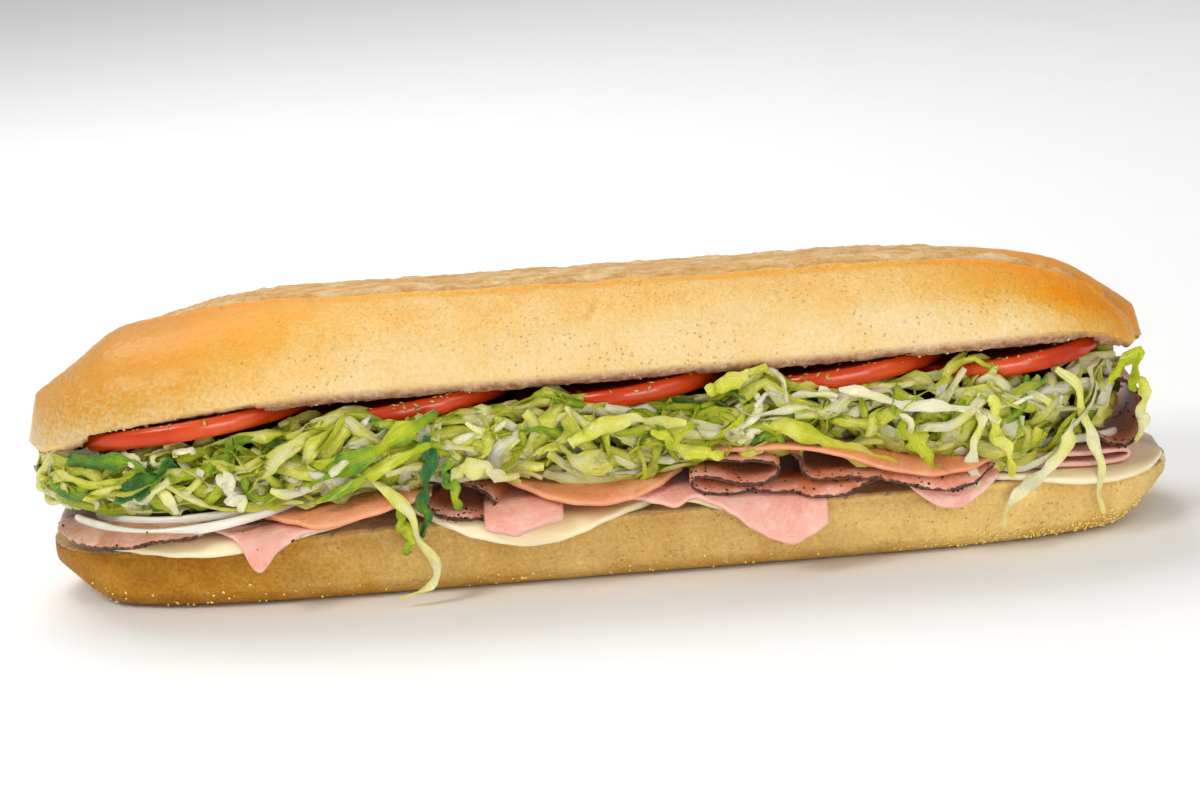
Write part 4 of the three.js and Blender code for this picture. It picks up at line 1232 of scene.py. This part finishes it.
# loose shreds, in mm and radians; a pair is a range, or for the tone its middle and spread
strandLooks = {
    "lettuce_green_shreds": {
        "seed": 11, "count": 440, "length": (15, 36), "width": (1.8, 4.2), "thick": 0.25, "outer": 2.2,
        "steep": 0.6, "curl": 1.4, "turned": 0.7, "twist": 2.4, "cup": 0.2, "ruffle": 0.7,
        "tone": (0.58, 0.16), "edge": 0.15, "uneven": 0.22, "taper": 0.16,
    },
    "lettuce_pale_shreds": {
        "seed": 12, "count": 500, "length": (16, 40), "width": (2.0, 4.4), "thick": 0.3, "outer": 2.2,
        "steep": 0.55, "curl": 1.3, "turned": 0.6, "twist": 2.0, "cup": 0.2, "ruffle": 0.6,
        "tone": (0.28, 0.14), "edge": 0.25, "uneven": 0.2, "taper": 0.16,
    },
    "lettuce_white_ribs": {
        "seed": 13, "count": 130, "length": (12, 28), "width": (2.0, 3.6), "thick": 1.2, "outer": 2.2,
        "steep": 0.65, "curl": 1.1, "turned": 0.5, "twist": 0.8, "cup": 0.1, "ruffle": 0.25,
        "tone": (0.07, 0.07), "edge": 0.1, "uneven": 0.2, "taper": 0.15,
    },
    "lettuce_leaf_pieces": {
        "seed": 14, "count": 125, "length": (20, 42), "width": (3, 6.4), "thick": 0.3, "outer": 5,
        "steep": 0.5, "curl": 1.2, "turned": 0.6, "twist": 1.4, "cup": 0.22, "ruffle": 1.4,
        "tone": (0.4, 0.2), "edge": 0.22, "uneven": 0.35, "taper": 0.28,
    },
}
leaf = lettuceMaterial("iceberg_leaf", leafStops, 0.27)
shade = lettuceMaterial("iceberg_painted_shade", shadeStops, 0.5)
lettucePieces = [scatterStrands(name, look) for name, look in strandLooks.items()]
lettucePieces += [buildLongStrands(), buildLettuceShadeCore()]
for piece in lettucePieces:
    settle(piece, "lettuce", shade if piece.name == "lettuce_shade_core" else leaf, "lettuce")
print("lettuce piled")


# small lumps at given places, each a stretched eight-sided bit, all in one mesh
def scatterBits(name, places, ways, sizes, stretch, rng, sink):
    corners = np.array([(1, 0, 0), (-1, 0, 0), (0, 1, 0), (0, -1, 0), (0, 0, 1), (0, 0, -1)], float)
    sides = np.array([(0, 2, 4), (2, 1, 4), (1, 3, 4), (3, 0, 4), (2, 0, 5), (1, 2, 5), (3, 1, 5), (0, 3, 5)])
    count = len(places)
    spin = rng.uniform(0, 2 * math.pi, count)
    side = unit(np.cross(ways, (0.13, 0.31, 0.94)))
    other = np.cross(ways, side)
    first = np.cos(spin)[:, None] * side + np.sin(spin)[:, None] * other
    second = -np.sin(spin)[:, None] * side + np.cos(spin)[:, None] * other
    uneven = 0.75 + 0.5 * rng.random((count, 6, 1))
    shape = corners[None] * uneven * (np.array(stretch) * sizes[:, None] / 2)[:, None, :]
    spots = places + ways * (sizes * stretch[2] / 2 * (1 - 2 * sink))[:, None]
    points = spots[:, None] + shape[..., :1] * first[:, None] + shape[..., 1:2] * second[:, None]
    points = points + shape[..., 2:] * ways[:, None]
    faces = (sides[None] + (np.arange(count) * 6)[:, None, None]).reshape(-1, 3)
    piece = meshPiece(name, points, faces.tolist())
    outward(piece)
    smoothAll(piece)
    return piece


# places and directions on a piece: count of them, taken where the weight is high
def pickSpots(piece, count, weigh, rng):
    points = readPoints(piece.data) / mm
    normals = np.empty(len(points) * 3)
    piece.data.vertices.foreach_get("normal", normals)
    normals = normals.reshape(-1, 3)
    weight = np.maximum(weigh(points, normals), 0)
    chosen = rng.choice(len(points), count, p=weight / weight.sum())
    return points[chosen] + rng.normal(0, 0.3, (count, 3)) * (1 - np.abs(normals[chosen])), normals[chosen]


def speckMaterial(name, dark, light, roughness=0.7):
    material, tree, shader = newMaterial(name)
    colour = addRamp(tree, addNoise(tree, 800, 3), [(0.35, dark), (0.65, light)])
    tree.links.new(colour, shader.inputs["Base Color"])
    shader.inputs["Roughness"].default_value = roughness
    addBump(tree, shader, addNoise(tree, 2500, 3), 0.0002, 0.5)
    return material


# the same on several pieces, one after the other
def pickAll(pieces, rng):
    spots = [pickSpots(piece, count, weigh, rng) for piece, count, weigh in pieces]
    return [np.vstack(column) for column in zip(*spots)]


# where specks gather, by places p in mm and directions n
def nearRim(piece):
    rim = readMask(piece.data, "rim")
    return lambda p, n: np.exp(-rim / 3.0) + 0.05 * (rim < 20)


def frontOfTop(p, n):
    return (n[:, 2] > 0.3) * (0.1 + np.exp(-(p[:, 1] - p[:, 1].min()) / 5))


def lowOnCrust(p, n):
    return ease(p[:, 2], 9, 2) * (p[:, 2] > 0.9) * (0.12 + ease(p[:, 0], 70, 125))


def frontOfCrumb(p, n):
    return (n[:, 2] < -0.2) * (p[:, 1] < -24) * 1.0


# specks: how many (on each slice, for pepper and herbs), sizes in mm, shape (long, wide, high), how far sunk in
specks = {
    "pepper": {"count": {"pastrami_roll": 260, "pastrami_ribbon": 260, "pastrami_fold": 260, "pastrami_curl": 260,
                         "smoked_ham": 40, "ham_pleat": 26}, "sizes": (0.38, 1.05), "shape": (1, 0.8, 0.6)},
    "herbs": {"count": 34, "sizes": (1.0, 2.4), "shape": (1, 0.45, 0.14), "sunk": 0.0},
    "cornmeal": {"count": 1000, "sizes": (0.45, 1.15), "shape": (1, 0.85, 0.7)},
    "crumbs": {"count": 60, "sizes": (0.5, 1.4), "shape": (1, 0.8, 0.7), "sunk": 0.35},
}


def scatter(name, look, spots, slotName, material, rng):
    places, ways = spots
    sizes = rng.uniform(*look["sizes"], len(places))
    bits = scatterBits(name, places, ways, sizes, look["shape"], rng, look.get("sunk", 0.2))
    settle(bits, slotName, material)


def scatterAll():
    rng = np.random.default_rng(77)
    pepper, herbs, cornmeal, crumbs = specks.values()
    slices = [(bpy.data.objects[name + "_slice"], count) for name, count in pepper["count"].items()]
    spots = pickAll([(piece, count, nearRim(piece)) for piece, count in slices], rng)
    look = speckMaterial("cracked_pepper", (0.012, 0.008, 0.006), (0.07, 0.035, 0.02))
    scatter("pepper_specks", pepper, spots, "pepper", look, rng)
    slices = [bpy.data.objects[slice["node"] + "_slice"] for slice in tomatoes]
    spots = pickAll([(piece, herbs["count"], frontOfTop) for piece in slices], rng)
    look = speckMaterial("dried_oregano", (0.38, 0.24, 0.04), (0.80, 0.58, 0.16))
    scatter("oregano_flakes", herbs, spots, "herbs", look, rng)
    spots = pickSpots(bpy.data.objects["bread_bottom_loaf"], cornmeal["count"], lowOnCrust, rng)
    look = speckMaterial("cornmeal", (0.95, 0.62, 0.10), (1.0, 0.86, 0.38), 0.5)
    scatter("cornmeal_grains", cornmeal, spots, "crust", look, rng)
    spots = pickSpots(bpy.data.objects["bread_top_loaf"], crumbs["count"], frontOfCrumb, rng)
    look = speckMaterial("crumb_bits", (0.62, 0.36, 0.2), (0.88, 0.68, 0.46))
    scatter("bread_crumbs", crumbs, spots, "crumb", look, rng)


scatterAll()
print("specks scattered")

# the studio: aim, and the width seen there, in mm; elevation and roll in degrees
studio = {
    "floor": (0.9, 0.9, 0.9), "sky": 0.41,
    "aim": (-0.6, 0, 40.5), "lens": 100, "sensor": 36, "width": 328, "elevation": 15, "roll": 4.6,
    "lamps": {  # place and aim in metres, size, power and colour
        "key_left": ((-0.75, -0.55, 0.85), (-0.03, 0, 0.04), (0.42, 0.36), 4.6, (1, 0.985, 0.96)),
        "front_soft": ((0.3, -1.35, 0.24), (0, 0, 0.035), (0.9, 0.3), 5.1, (1, 1, 1)),
        "right_fill": ((0.44, -0.5, 0.3), (0.12, 0, 0.035), (0.3, 0.24), 0.4, (1, 1, 1)),
        "top_back": ((-0.3, 0.55, 0.85), (0, 0, 0.06), (0.8, 0.5), 5, (1, 1, 1)),
    },
}


def addAreaLight(name, place, aim, size, power, colour):
    data = bpy.data.lights.new(name, "AREA")
    data.shape = "RECTANGLE"
    data.size, data.size_y = size
    data.energy = power
    data.color = colour
    lamp = bpy.data.objects.new(name, data)
    lamp.location = place
    lamp.rotation_euler = (Vector(aim) - Vector(place)).to_track_quat("-Z", "Y").to_euler()
    bpy.context.collection.objects.link(lamp)


def buildStudio():
    deselectAll()
    bpy.ops.mesh.primitive_plane_add(size=14, location=(0, 0, -0.0003))
    floor = bpy.context.object
    floor.name = "studio_floor"
    material, tree, shader = newMaterial("floor_paper")
    paler = tuple(c * 1.01 for c in studio["floor"])
    paper = addRamp(tree, addNoise(tree, 40, 3), [(0.3, studio["floor"]), (0.7, paler)])
    tree.links.new(paper, shader.inputs["Base Color"])
    setSockets(shader, {"Roughness": 0.8, "Specular IOR Level": 0.2})
    floor.data.materials.append(material)
    world = bpy.data.worlds.new("studio_sky")
    world.use_nodes = True
    setSockets(world.node_tree.nodes["Background"], {"Color": (1, 1, 1, 1), "Strength": studio["sky"]})
    bpy.context.scene.world = world
    for name, lamp in studio["lamps"].items():
        addAreaLight(name, *lamp)


def buildCamera():
    data = bpy.data.cameras.new("view")
    data.lens = studio["lens"]
    data.sensor_width = studio["sensor"]
    data.clip_start = 0.01
    aim = Vector(studio["aim"]) * mm
    away = studio["width"] * mm * studio["lens"] / studio["sensor"]
    tilt = math.radians(studio["elevation"])
    camera = bpy.data.objects.new("view", data)
    camera.location = aim + away * Vector((0, -math.cos(tilt), math.sin(tilt)))
    look = (aim - camera.location).to_track_quat("-Z", "Y").to_matrix()
    camera.rotation_euler = (look @ Matrix.Rotation(-math.radians(studio["roll"]), 3, "Z")).to_euler()
    bpy.context.collection.objects.link(camera)
    bpy.context.scene.camera = camera


buildStudio()
buildCamera()
display = bpy.context.scene.view_settings
display.view_transform = "Standard"
display.look = "Medium High Contrast"
print("studio ready")
